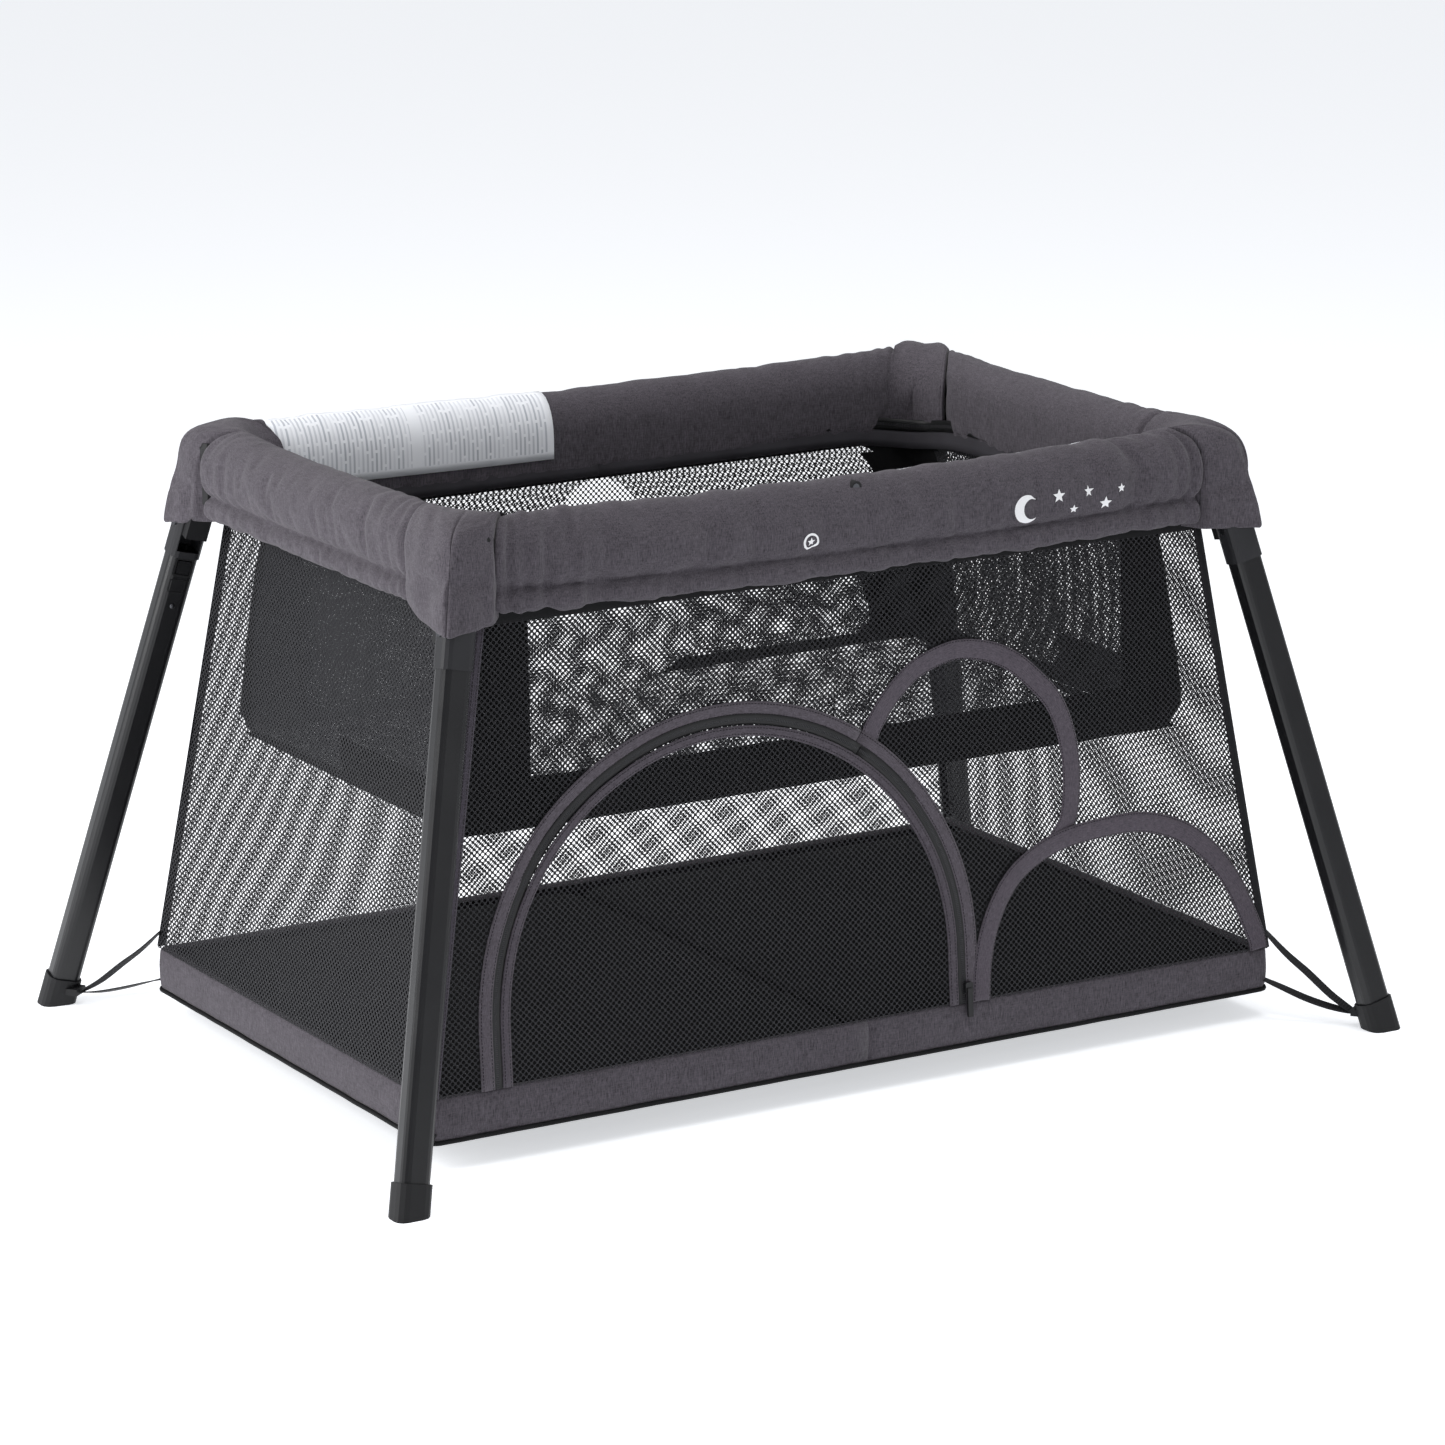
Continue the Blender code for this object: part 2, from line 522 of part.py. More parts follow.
for end_name, side_x in END_SIDES:
    run_half = CAP_TOP_Y + CAP_FLARE - CAP_LENGTH + PAD_WIDTH / 3
    run = box_mesh((-PAD_WIDTH / 2, -run_half, PAD_BOTTOM),
                   (PAD_WIDTH / 2, run_half, TOTAL_HEIGHT - TOUCH))
    top_edge = PAD_BOTTOM + PAD_HEIGHT / 2
    round_edges(run, PAD_TOP_ROUND, 4, lambda middle, way: abs(way.y) > 0.9 and middle.z > top_edge)
    round_edges(run, PAD_BOTTOM_ROUND, 1,
                lambda middle, way: abs(way.y) > 0.9 and middle.z < PAD_BOTTOM + TOUCH)
    pad = new_object("end_pad_" + end_name, run, heather)
    half_parent(pad, side_x, (side_x * RAIL_HALF_LENGTH, 0, 0))

    for side_name, side_y in LONG_SIDES:
        key = side_name + "_" + end_name
        cap = new_object("cap_" + key, cap_form(0, TOTAL_HEIGHT, CAP_BOTTOM, side_x, side_y))
        subtract(pad, cap, "UNION")

    for side_name, side_y in LONG_SIDES:
        key = side_name + "_" + end_name
        room = cap_form(CAP_WALL, CHANNEL_TOP - TOUCH, CAP_BOTTOM - EASY, side_x, side_y)
        room_cutter = new_object("cap_room_" + key, room)
        subtract(pad, room_cutter)

        # The skirt hangs on the two outer sides only, so that the leg can swing in under the rail.
        skirt_x = CAP_TOP_X + CAP_FLARE * PAD_HEIGHT / CAP_HEIGHT - CAP_WALL
        gate = box_mesh((PAD_INNER_X - EASY, PAD_INNER_Y - CAP_LENGTH / 2, CAP_BOTTOM - EASY),
                        (skirt_x, CAP_TOP_Y - CAP_LENGTH / 2, PAD_BOTTOM + TOUCH))
        bmesh.ops.scale(gate, vec=(side_x, side_y, 1), verts=gate.verts)
        gate_cutter = new_object("cap_gate_" + key, gate)
        subtract(pad, gate_cutter)

        mouth = box_mesh((PAD_INNER_X - EASY, -CHANNEL_HALF, CAP_BOTTOM),
                         (HUB_INNER_X + EASY, CHANNEL_HALF, CHANNEL_TOP - EASY))
        bmesh.ops.scale(mouth, vec=(side_x, 1, 1), verts=mouth.verts)
        mouth_cutter = new_object("cap_mouth_" + key, mouth)
        mouth_cutter.location = (0, side_y * RAIL_HALF_WIDTH, 0)
        subtract(pad, mouth_cutter)

    channel = box_mesh((-CHANNEL_HALF, -RAIL_HALF_WIDTH, CAP_BOTTOM - EASY),
                       (CHANNEL_HALF, RAIL_HALF_WIDTH, CHANNEL_TOP))
    channel_cutter = new_object("end_channel_" + end_name, channel)
    channel_cutter.location = (side_x * RAIL_HALF_LENGTH, 0, 0)
    subtract(pad, channel_cutter)

# ---------------------------------------------------------------- legs

for side_name, side_y in LONG_SIDES:
    for end_name, side_x in END_SIDES:
        key = side_name + "_" + end_name
        frame = leg_frames[key]
        outward = 1 if leg_axis(side_x, side_y).x * side_x > 0 else -1

        # Leg tube: oval section, open at both ends, with a window for the release button.
        tube_end = LEG_LENGTH - LEG_TUBE_STOP
        shell = box_mesh((-LEG_WIDTH / 2, -LEG_DEPTH / 2, -tube_end),
                         (LEG_WIDTH / 2, LEG_DEPTH / 2, -LEG_TUBE_START))
        caps = [face for face in shell.faces if abs(face.normal.z) > 0.9]
        bmesh.ops.delete(shell, geom=caps, context="FACES_ONLY")
        round_edges(shell, LEG_ROUND, 4, lambda middle, way: abs(way.z) > 0.9)
        tube = new_object("leg_tube_" + key, shell, aluminium)
        thicken(tube, LEG_WALL)
        smooth_round(tube)
        tube.parent = frame
        window_half = BUTTON_SIZE / 2 + TOUCH
        window = box_mesh((-window_half, 0, -BUTTON_DROP - window_half),
                          (window_half, LEG_DEPTH, -BUTTON_DROP + window_half))
        window_cutter = new_object("button_window_" + key, window)
        window_cutter.parent = frame
        subtract(tube, window_cutter)

        # Sleeve: a fork round the hub lug above, and a pocket for the tube below.
        half_width = SLEEVE_WIDTH / 2
        half_depth = SLEEVE_DEPTH / 2
        outer = box_mesh((-half_width, -half_depth, -SLEEVE_END), (half_width, half_depth, half_depth))
        round_edges(outer, LEG_ROUND, 3, lambda middle, way: abs(way.z) > 0.9)
        sleeve = new_object("leg_sleeve_" + key, outer, sleeve_plastic)
        sleeve.parent = frame
        dome = box_mesh((-half_width - TOUCH, -half_depth - TOUCH, -LEG_LENGTH),
                        (half_width + TOUCH, half_depth + TOUCH, half_depth + TOUCH))
        round_edges(dome, half_depth, 6, lambda middle, way: abs(way.x) > 0.9 and middle.z > 0)
        round_edges(dome, SLEEVE_CROWN, 3,
                    lambda middle, way: abs(middle.x) > half_width and middle.z > -LEG_LENGTH + TOUCH)
        dome_cutter = new_object("sleeve_dome_" + key, dome)
        dome_cutter.parent = frame
        subtract(sleeve, dome_cutter, "INTERSECT")
        fork = box_mesh((-half_width + SLEEVE_CHEEK, -half_depth + SLEEVE_FRONT, -LEG_TUBE_START),
                        (half_width - SLEEVE_CHEEK, half_depth * 2, half_depth * 2))
        fork_cutter = new_object("sleeve_fork_" + key, fork)
        fork_cutter.parent = frame
        subtract(sleeve, fork_cutter)
        pocket = box_mesh((-LEG_WIDTH / 2 - FIT, -LEG_DEPTH / 2 - FIT, -LEG_LENGTH),
                          (LEG_WIDTH / 2 + FIT, LEG_DEPTH / 2 + FIT, -LEG_TUBE_START + FIT))
        round_edges(pocket, LEG_ROUND, 3, lambda middle, way: abs(way.z) > 0.9)
        pocket_cutter = new_object("sleeve_pocket_" + key, pocket)
        pocket_cutter.parent = frame
        subtract(sleeve, pocket_cutter)
        bore = cylinder_mesh(PIVOT_PIN_RADIUS + FIT, -SLEEVE_WIDTH, SLEEVE_WIDTH, "X", 16)
        bore_cutter = new_object("sleeve_bore_" + key, bore)
        bore_cutter.parent = frame
        subtract(sleeve, bore_cutter)

        # Pivot pin with a round head on the outer side.
        pin_mesh = cylinder_mesh(PIVOT_PIN_RADIUS, -half_width, half_width + TOUCH, "X", 16)
        bmesh.ops.scale(pin_mesh, vec=(outward, 1, 1), verts=pin_mesh.verts)
        pin = new_object("leg_pivot_pin_" + key, pin_mesh, pin_steel)
        smooth_round(pin)
        pin.parent = frame
        head = cylinder_mesh(PIVOT_HEAD_RADIUS, half_width + FIT, half_width + PIVOT_HEAD_HEIGHT, "X", 20)
        bmesh.ops.scale(head, vec=(outward, 1, 1), verts=head.verts)
        head_cutter = new_object("pin_head_" + key, head)
        head_cutter.parent = frame
        subtract(pin, head_cutter, "UNION")

        # Square release button on the side the leg folds to.
        half = BUTTON_SIZE / 2
        cap_top = BUTTON_PROUD
        button_mesh = box_mesh((-half, cap_top - BUTTON_DEPTH, -half), (half, cap_top, half))
        round_edges(button_mesh, LEG_WALL / 2, 1, lambda middle, way: abs(way.y) > 0.9)
        button = new_object("release_button_" + key, button_mesh, button_plastic)
        place(button, (0, LEG_DEPTH / 2, -BUTTON_DROP), frame)

        # Foot: a cup over the end of the tube, cut level with the floor, with an eye for the strap.
        foot_width = LEG_WIDTH / 2 + FOOT_SKIN
        foot_depth = LEG_DEPTH / 2 + FOOT_SKIN
        cup = box_mesh((-foot_width, -foot_depth, -LEG_LENGTH - FOOT_HEIGHT),
                       (foot_width, foot_depth, -LEG_LENGTH + FOOT_HEIGHT))
        round_edges(cup, LEG_ROUND + FOOT_SKIN, 3, lambda middle, way: abs(way.z) > 0.9)
        foot = new_object("foot_" + key, cup, hub_plastic)
        foot.parent = frame
        ground_point = Vector((side_x * FOOT_X, side_y * FOOT_Y, 0))
        corner_point = Vector((side_x * BASE_X, side_y * BASE_Y, 0))
        inward = (corner_point - ground_point).normalized()
        heading = math.atan2(inward.y, inward.x)
        eye = box_mesh((foot_depth / 2, -STRAP_EYE_WIDTH / 2, -STRAP_EYE_HEIGHT / 2),
                       (foot_width + STRAP_EYE_LENGTH, STRAP_EYE_WIDTH / 2, STRAP_EYE_HEIGHT / 2))
        eye_cutter = new_object("strap_eye_" + key, eye)
        eye_cutter.location = ground_point + Vector((0, 0, STRAP_EYE_LIFT))
        eye_cutter.rotation_euler = (0, 0, heading)
        subtract(foot, eye_cutter, "UNION")
        slot = box_mesh((foot_width + STRAP_EYE_LENGTH * 0.3, -STRAP_WIDTH / 2 - TOUCH, -STRAP_EYE_HEIGHT),
                        (foot_width + STRAP_EYE_LENGTH * 0.7, STRAP_WIDTH / 2 + TOUCH, STRAP_EYE_HEIGHT))
        slot_cutter = new_object("strap_slot_" + key, slot)
        slot_cutter.location = ground_point + Vector((0, 0, STRAP_EYE_LIFT))
        slot_cutter.rotation_euler = (0, 0, heading)
        subtract(foot, slot_cutter)
        cup_room = box_mesh((-LEG_WIDTH / 2 - FIT, -LEG_DEPTH / 2 - FIT, -tube_end - FIT),
                            (LEG_WIDTH / 2 + FIT, LEG_DEPTH / 2 + FIT, 0))
        round_edges(cup_room, LEG_ROUND, 3, lambda middle, way: abs(way.z) > 0.9)
        cup_cutter = new_object("foot_cup_" + key, cup_room)
        cup_cutter.parent = frame
        subtract(foot, cup_cutter)
        below = FOOT_HEIGHT * 3
        ground = box_mesh((-below, -below, -below), (below, below, 0))
        ground_cutter = new_object("ground_" + key, ground)
        ground_cutter.location = ground_point
        subtract(foot, ground_cutter)

        # Strap: webbing in a V from the foot's eye to two heights on the base corner.
        reach = (corner_point - ground_point).length
        start = foot_width + STRAP_EYE_LENGTH + TOUCH
        stop = reach - 2 * TOUCH
        half = STRAP_WIDTH / 2
        low_end = STRAP_EYE_LIFT
        rise = STRAP_UPPER - low_end
        notch_at = start + (stop - start) * STRAP_WIDTH * 1.15 / rise * 1.15
        outline = ((start, low_end - half), (stop, STRAP_LOWER - half), (stop, STRAP_LOWER + half),
                   (notch_at, low_end + half * 1.35), (stop, STRAP_UPPER - half),
                   (stop, STRAP_UPPER + half), (start, low_end + half))
        curve = bpy.data.curves.new("strap_" + key, "CURVE")
        curve.dimensions = "2D"
        curve.fill_mode = "BOTH"
        curve.extrude = STRAP_THICKNESS / 2
        spline = curve.splines.new("POLY")
        spline.points.add(len(outline) - 1)
        for number, (along, up) in enumerate(outline):
            spline.points[number].co = (along, up, 0, 1)
        spline.use_cyclic_u = True
        curve.materials.append(webbing)
        strap = bpy.data.objects.new("strap_" + key, curve)
        pen_collection.objects.link(strap)
        strap.location = ground_point
        strap.rotation_euler = (math.radians(90), 0, heading)

# ---------------------------------------------------------------- mesh walls

WALL_FOOT_Z = BASE_TOP + TOUCH
WALL_HEAD_Z = TOTAL_HEIGHT - WALL_TOP_DROP
WALL_HEAD_X = RAIL_HALF_LENGTH - WALL_IN_LENGTH
WALL_HEAD_Y = RAIL_HALF_WIDTH + WALL_OUT_WIDTH
FRONT_LEAN = math.atan2(BASE_Y - WALL_HEAD_Y, WALL_HEAD_Z - WALL_FOOT_Z)
END_LEAN = math.atan2(BASE_X - WALL_HEAD_X, WALL_HEAD_Z - WALL_FOOT_Z)


def panel_mesh(foot_half, head_half, height, corner_gap):
    """A thin wall that narrows upwards: X is its width, Z its height, Y runs inwards from 0."""
    mesh = box_mesh((-foot_half + corner_gap, 0, 0), (foot_half - corner_gap, WALL_SKIN, height))
    ratio = (head_half - corner_gap) / (foot_half - corner_gap)
    for vert in mesh.verts:
        if vert.co.z > height / 2:
            vert.co.x *= ratio
    return mesh


def door_mesh(grow, half_thickness):
    """The door's outline as a flat plate: straight sides under a half-round arch."""
    radius = DOOR_RADIUS + grow
    mesh = cylinder_mesh(radius, -half_thickness, half_thickness, "Y", 64)
    above = bmesh.ops.bisect_plane(mesh, geom=mesh.verts[:] + mesh.edges[:] + mesh.faces[:],
                                   plane_co=(0, 0, 0), plane_no=(0, 0, -1), clear_outer=True)
    rim = [edge for edge in above["geom_cut"] if isinstance(edge, bmesh.types.BMEdge)]
    lower = bmesh.ops.contextual_create(mesh, geom=rim)["faces"]
    pulled = bmesh.ops.extrude_face_region(mesh, geom=lower)
    bmesh.ops.delete(mesh, geom=lower, context="FACES_ONLY")
    moved = [item for item in pulled["geom"] if isinstance(item, bmesh.types.BMVert)]
    bmesh.ops.translate(mesh, vec=(0, 0, -DOOR_SPRING_HEIGHT - grow), verts=moved)
    return mesh


long_height = (WALL_HEAD_Z - WALL_FOOT_Z) / math.cos(FRONT_LEAN)
end_height = (WALL_HEAD_Z - WALL_FOOT_Z) / math.cos(END_LEAN)

for end_name, side_x in END_SIDES:
    mesh = panel_mesh(BASE_Y, WALL_HEAD_Y, end_height, WALL_SKIN + 2 * TOUCH)
    wall = new_object("wall_end_" + end_name, mesh, wall_mesh)
    wall.rotation_euler = (-END_LEAN, 0, side_x * math.radians(90))
    half_parent(wall, side_x, (side_x * BASE_X, 0, WALL_FOOT_Z))

for side_name, side_y in LONG_SIDES:
    for end_name, side_x in END_SIDES:
        key = side_name + "_" + end_name
        mesh = panel_mesh(BASE_X, WALL_HEAD_X, long_height, TOUCH)
        # Each long wall is cut at the fold, so that each half keeps its own side of it.
        turned = side_x if side_y < 0 else -side_x
        cells = mesh.verts[:] + mesh.edges[:] + mesh.faces[:]
        cut = bmesh.ops.bisect_plane(mesh, geom=cells, plane_co=(turned * SEAM, 0, 0),
                                     plane_no=(turned, 0, 0), clear_inner=True)
        rim = [edge for edge in cut["geom_cut"] if isinstance(edge, bmesh.types.BMEdge)]
        bmesh.ops.contextual_create(mesh, geom=rim)
        wall = new_object("wall_" + key, mesh, wall_mesh)
        wall.rotation_euler = (-FRONT_LEAN, 0, 0 if side_y < 0 else math.radians(180))
        half_parent(wall, side_x, (0, side_y * BASE_Y, WALL_FOOT_Z))
        if side_y < 0:
            door_room = new_object("door_room_" + key, door_mesh(SEAM, PAD_WIDTH))
            door_room.location = (DOOR_CENTRE, -BASE_Y + math.sin(FRONT_LEAN) * DOOR_SPRING_HEIGHT,
                                  WALL_FOOT_Z + math.cos(FRONT_LEAN) * DOOR_SPRING_HEIGHT)
            door_room.rotation_euler = (-FRONT_LEAN, 0, 0)
            subtract(wall, door_room)

# ---------------------------------------------------------------- zipped door

door_hinge = bpy.data.objects.new("door_hinge_axis", None)
pen_collection.objects.link(door_hinge)
door_hinge.location = (DOOR_CENTRE, -BASE_Y, WALL_FOOT_Z)
door_hinge.rotation_euler = (-FRONT_LEAN, 0, 0)

door = new_object("door_panel", door_mesh(0, WALL_SKIN / 2), wall_mesh)
place(door, (0, WALL_SKIN / 2, DOOR_SPRING_HEIGHT + TOUCH), door_hinge)

# The zip slider runs round the arch, so its empty is on the arch's centre.
zip_centre = bpy.data.objects.new("zip_arch_centre", None)
pen_collection.objects.link(zip_centre)
zip_centre.location = (DOOR_CENTRE, -BASE_Y + math.sin(FRONT_LEAN) * DOOR_SPRING_HEIGHT,
                       WALL_FOOT_Z + math.cos(FRONT_LEAN) * DOOR_SPRING_HEIGHT)
zip_centre.rotation_euler = (-FRONT_LEAN, 0, 0)

# At rest the slider is upright, at the foot of the arch and just outside the door's edge.
SLIDER_ORBIT = (DOOR_RADIUS + SLIDER_WIDTH / 2 + SEAM) / math.cos(SLIDER_ANGLE)
slider_mesh = box_mesh((-SLIDER_WIDTH / 2, -SLIDER_HEIGHT - TOUCH, -SLIDER_LENGTH / 2),
                       (SLIDER_WIDTH / 2, -TOUCH, SLIDER_LENGTH / 2))
round_edges(slider_mesh, SLIDER_HEIGHT / 4, 1, lambda middle, way: abs(way.y) > 0.9)
slider = new_object("zip_slider", slider_mesh, zip_metal)
slider.location = (SLIDER_ORBIT * math.cos(SLIDER_ANGLE), 0, SLIDER_ORBIT * math.sin(SLIDER_ANGLE))
slider.parent = zip_centre
pull_mesh = box_mesh((-PULL_WIDTH / 2, -SLIDER_HEIGHT - PULL_THICKNESS, -SLIDER_LENGTH / 2 - PULL_LENGTH),
                     (PULL_WIDTH / 2, -SLIDER_HEIGHT + TOUCH, 0))
pull_cutter = new_object("zip_pull", pull_mesh)
pull_cutter.location = slider.location
pull_cutter.parent = zip_centre
subtract(slider, pull_cutter, "UNION")

# ---------------------------------------------------------------- base trays and mattress

for end_name, side_x in END_SIDES:
    # Half tray: a floor and three low sides, open at the top and at the fold.
    tray_mesh = box_mesh((0, -BASE_Y, BASE_BOTTOM), (BASE_X, BASE_Y, BASE_TOP))
    gone = [face for face in tray_mesh.faces if face.normal.z > 0.9 or face.normal.x < -0.9]
    bmesh.ops.delete(tray_mesh, geom=gone, context="FACES_ONLY")
    round_edges(tray_mesh, BASE_ROUND, 3,
                lambda middle, way: abs(way.z) > 0.9 and middle.x > BASE_X / 2)
    bmesh.ops.translate(tray_mesh, vec=(SEAM, 0, 0),
                        verts=[vert for vert in tray_mesh.verts if vert.co.x < SEAM])
    bmesh.ops.scale(tray_mesh, vec=(side_x, 1, 1), verts=tray_mesh.verts)
    if side_x < 0:
        bmesh.ops.reverse_faces(tray_mesh, faces=tray_mesh.faces)
    tray = new_object("base_tray_" + end_name, tray_mesh, heather)
    thicken(tray, BASE_SKIN)
    half_parent(tray, side_x, (0, 0, 0))

    mattress_x = BASE_X - BASE_SKIN - 2 * TOUCH
    mattress_y = BASE_Y - BASE_SKIN - 2 * TOUCH
    mattress_z = BASE_BOTTOM + BASE_SKIN + TOUCH
    near = side_x * SEAM
    far = side_x * mattress_x
    pad_mesh = box_mesh((min(near, far), -mattress_y, mattress_z),
                        (max(near, far), mattress_y, mattress_z + MATTRESS_THICKNESS))
    round_edges(pad_mesh, BASE_ROUND, 3,
                lambda middle, way: abs(way.z) > 0.9 and abs(middle.x) > BASE_X / 2)
    mattress_top = mattress_z + MATTRESS_THICKNESS
    round_edges(pad_mesh, MATTRESS_ROUND, 2,
                lambda middle, way: middle.z > mattress_top - TOUCH and abs(middle.x) > 2 * SEAM)
    mattress = new_object("mattress_" + end_name, pad_mesh, lining)
    half_parent(mattress, side_x, (0, 0, 0))

# ---------------------------------------------------------------- bassinet

BASSINET_RIM_X = PAD_INNER_X - TOUCH * 3
BASSINET_RIM_Y = PAD_INNER_Y - TOUCH * 2
BASSINET_RIM_Z = TOTAL_HEIGHT - BASSINET_RIM_DROP
BASSINET_FLOOR_Z = BASSINET_RIM_Z - BASSINET_DEPTH

for end_name, side_x in END_SIDES:
    # Half tub: a floor and three sides that flare downwards, open at the top and at the fold.
    tub_mesh = box_mesh((0, -BASSINET_RIM_Y, BASSINET_FLOOR_Z),
                        (BASSINET_RIM_X, BASSINET_RIM_Y, BASSINET_RIM_Z))
    gone = [face for face in tub_mesh.faces if face.normal.z > 0.9 or face.normal.x < -0.9]
    bmesh.ops.delete(tub_mesh, geom=gone, context="FACES_ONLY")
    for vert in tub_mesh.verts:
        if vert.co.z < (BASSINET_FLOOR_Z + BASSINET_RIM_Z) / 2:
            vert.co.x += BASSINET_FLARE_LENGTH if vert.co.x > BASSINET_RIM_X / 2 else 0.0
            vert.co.y += math.copysign(BASSINET_FLARE_WIDTH, vert.co.y)
    round_edges(tub_mesh, BASSINET_ROUND, 4,
                lambda middle, way: middle.x > SEAM and middle.z < BASSINET_RIM_Z - TOUCH)
    bmesh.ops.translate(tub_mesh, vec=(SEAM, 0, 0),
                        verts=[vert for vert in tub_mesh.verts if vert.co.x < SEAM])
    bmesh.ops.scale(tub_mesh, vec=(side_x, 1, 1), verts=tub_mesh.verts)
    if side_x < 0:
        bmesh.ops.reverse_faces(tub_mesh, faces=tub_mesh.faces)
    tub = new_object("bassinet_" + end_name, tub_mesh, lining)
    thicken(tub, BASSINET_SKIN)
    half_parent(tub, side_x, (0, 0, 0))
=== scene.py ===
import json
import math

import bmesh
import bpy
import numpy as np
from mathutils import Matrix, Vector, noise
from mathutils.bvhtree import BVHTree


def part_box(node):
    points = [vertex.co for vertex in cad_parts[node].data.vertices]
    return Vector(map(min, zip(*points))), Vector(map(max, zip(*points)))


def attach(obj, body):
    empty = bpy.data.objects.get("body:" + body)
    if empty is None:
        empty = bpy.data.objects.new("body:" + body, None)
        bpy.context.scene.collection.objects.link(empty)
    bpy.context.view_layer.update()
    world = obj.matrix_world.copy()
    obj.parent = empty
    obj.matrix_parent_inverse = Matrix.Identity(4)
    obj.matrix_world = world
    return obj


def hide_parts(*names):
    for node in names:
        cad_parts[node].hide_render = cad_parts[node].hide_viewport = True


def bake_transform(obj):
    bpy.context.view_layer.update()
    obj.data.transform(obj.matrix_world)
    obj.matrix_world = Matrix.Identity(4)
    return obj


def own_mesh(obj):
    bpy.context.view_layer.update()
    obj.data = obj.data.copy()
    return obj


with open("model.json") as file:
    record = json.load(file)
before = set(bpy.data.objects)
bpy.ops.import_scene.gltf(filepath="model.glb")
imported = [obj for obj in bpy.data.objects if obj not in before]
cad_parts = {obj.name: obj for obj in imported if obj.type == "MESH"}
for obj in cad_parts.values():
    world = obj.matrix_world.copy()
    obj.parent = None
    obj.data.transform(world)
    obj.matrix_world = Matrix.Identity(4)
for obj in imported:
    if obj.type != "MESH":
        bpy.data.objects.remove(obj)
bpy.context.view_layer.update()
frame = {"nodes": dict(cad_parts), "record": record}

# ------------------------------------------------------------ studio
# A plain pale floor, a bright grey room and three soft boxes: a wide one overhead, a tall one on the
# left that rims the leg tubes, and a weak one in front. The camera has a long lens, as for a catalogue.


def linear(hex_colour):
    """A colour written as sRGB hex, as linear red, green, blue and alpha."""
    parts = [int(hex_colour[at:at + 2], 16) / 255 for at in (0, 2, 4)]
    return [part / 12.92 if part <= 0.04045 else ((part + 0.055) / 1.055) ** 2.4 for part in parts] + [1.0]


def add_node(material, kind, settings={}, inputs={}):
    """Adds a shader node, sets its settings, and fills or links its inputs."""
    node = material.node_tree.nodes.new("ShaderNode" + kind)
    for name, value in settings.items():
        setattr(node, name, value)
    for socket, value in inputs.items():
        if isinstance(value, bpy.types.NodeSocket):
            material.node_tree.links.new(value, node.inputs[socket])
        else:
            node.inputs[socket].default_value = value
    return node


def start_material(name, hex_colour, roughness, metallic=0.0, specular=0.5):
    """A material with one Principled shader, and that shader."""
    material = bpy.data.materials.new(name)
    material.use_nodes = True
    shader = material.node_tree.nodes["Principled BSDF"]
    shader.inputs["Base Color"].default_value = linear(hex_colour)
    shader.inputs["Roughness"].default_value = roughness
    shader.inputs["Metallic"].default_value = metallic
    shader.inputs["Specular IOR Level"].default_value = specular
    return material, shader


def make_piece(name, mesh, *materials):
    """Turns a finished bmesh into an object at the origin."""
    data = bpy.data.meshes.new(name)
    mesh.to_mesh(data)
    mesh.free()
    data.shade_smooth()
    piece = bpy.data.objects.new(name, data)
    bpy.context.scene.collection.objects.link(piece)
    for material in materials:
        data.materials.append(material)
    return piece


scene = bpy.context.scene
scene.view_settings.view_transform = "Standard"

lens = bpy.data.cameras.new("catalogue_lens")
lens.sensor_width = 36.0
lens.lens = 139.8
lens.clip_end = 60.0
camera = bpy.data.objects.new("catalogue_camera", lens)
scene.collection.objects.link(camera)
camera.matrix_world = (Matrix.Translation((-2.902, -4.894, 1.768))
                       @ Matrix.Rotation(math.radians(-30.78), 4, "Z")
                       @ Matrix.Rotation(math.radians(90 - 14.28), 4, "X")
                       @ Matrix.Rotation(-0.003, 4, "Z"))
scene.camera = camera

world = bpy.data.worlds.new("pale_room")
world.use_nodes = True
world.node_tree.nodes["Background"].inputs["Color"].default_value = linear("f2f4f8")
world.node_tree.nodes["Background"].inputs["Strength"].default_value = 0.36
scene.world = world


def soft_box(name, place, aim, width, height, power):
    """A rectangular studio light at place, turned to aim."""
    lamp = bpy.data.lights.new(name, "AREA")
    lamp.shape = "RECTANGLE"
    lamp.size = width
    lamp.size_y = height
    lamp.energy = power
    box = bpy.data.objects.new(name, lamp)
    scene.collection.objects.link(box)
    box.location = place
    box.rotation_euler = (Vector(aim) - Vector(place)).to_track_quat("-Z", "Y").to_euler()


soft_box("box_overhead", (0.3, -0.4, 3.6), (0, 0, 0), 2.6, 2.2, 72)
soft_box("box_left", (-3.4, 0.6, 1.7), (0, 0, 0.4), 1.0, 2.6, 105)
soft_box("box_front", (1.6, -4.2, 2.2), (0, 0, 0.3), 1.4, 1.4, 12)

floor_mesh = bmesh.new()
bmesh.ops.create_grid(floor_mesh, x_segments=1, y_segments=1, size=30)
floor_paint, floor_shader = start_material("matt_studio_paint", "f4f5f7", 0.9, specular=0.1)
floor_shader.inputs["Emission Color"].default_value = linear("f4f6f9")
floor_shader.inputs["Emission Strength"].default_value = 0.62
studio_floor = make_piece("studio_floor", floor_mesh, floor_paint)

# ------------------------------------------------------------ rail frame
# The rail is a ring of drawn steel tube, in moulded nylon hubs at the corners and nylon hinges in the
# middle of the long sides. The covers hide nearly all of it, and the hubs show under the corner caps.


def dress(names, material):
    """Gives CAD nodes a finish."""
    for name in names:
        node = frame["nodes"][name]
        node.data.materials.clear()
        node.data.materials.append(material)


def every(stem, parts):
    """Node names of one kind, such as every corner_hub."""
    return [stem + "_" + part for part in parts]


ENDS = ("left", "right")
CORNERS = ("front_left", "front_right", "rear_left", "rear_right")

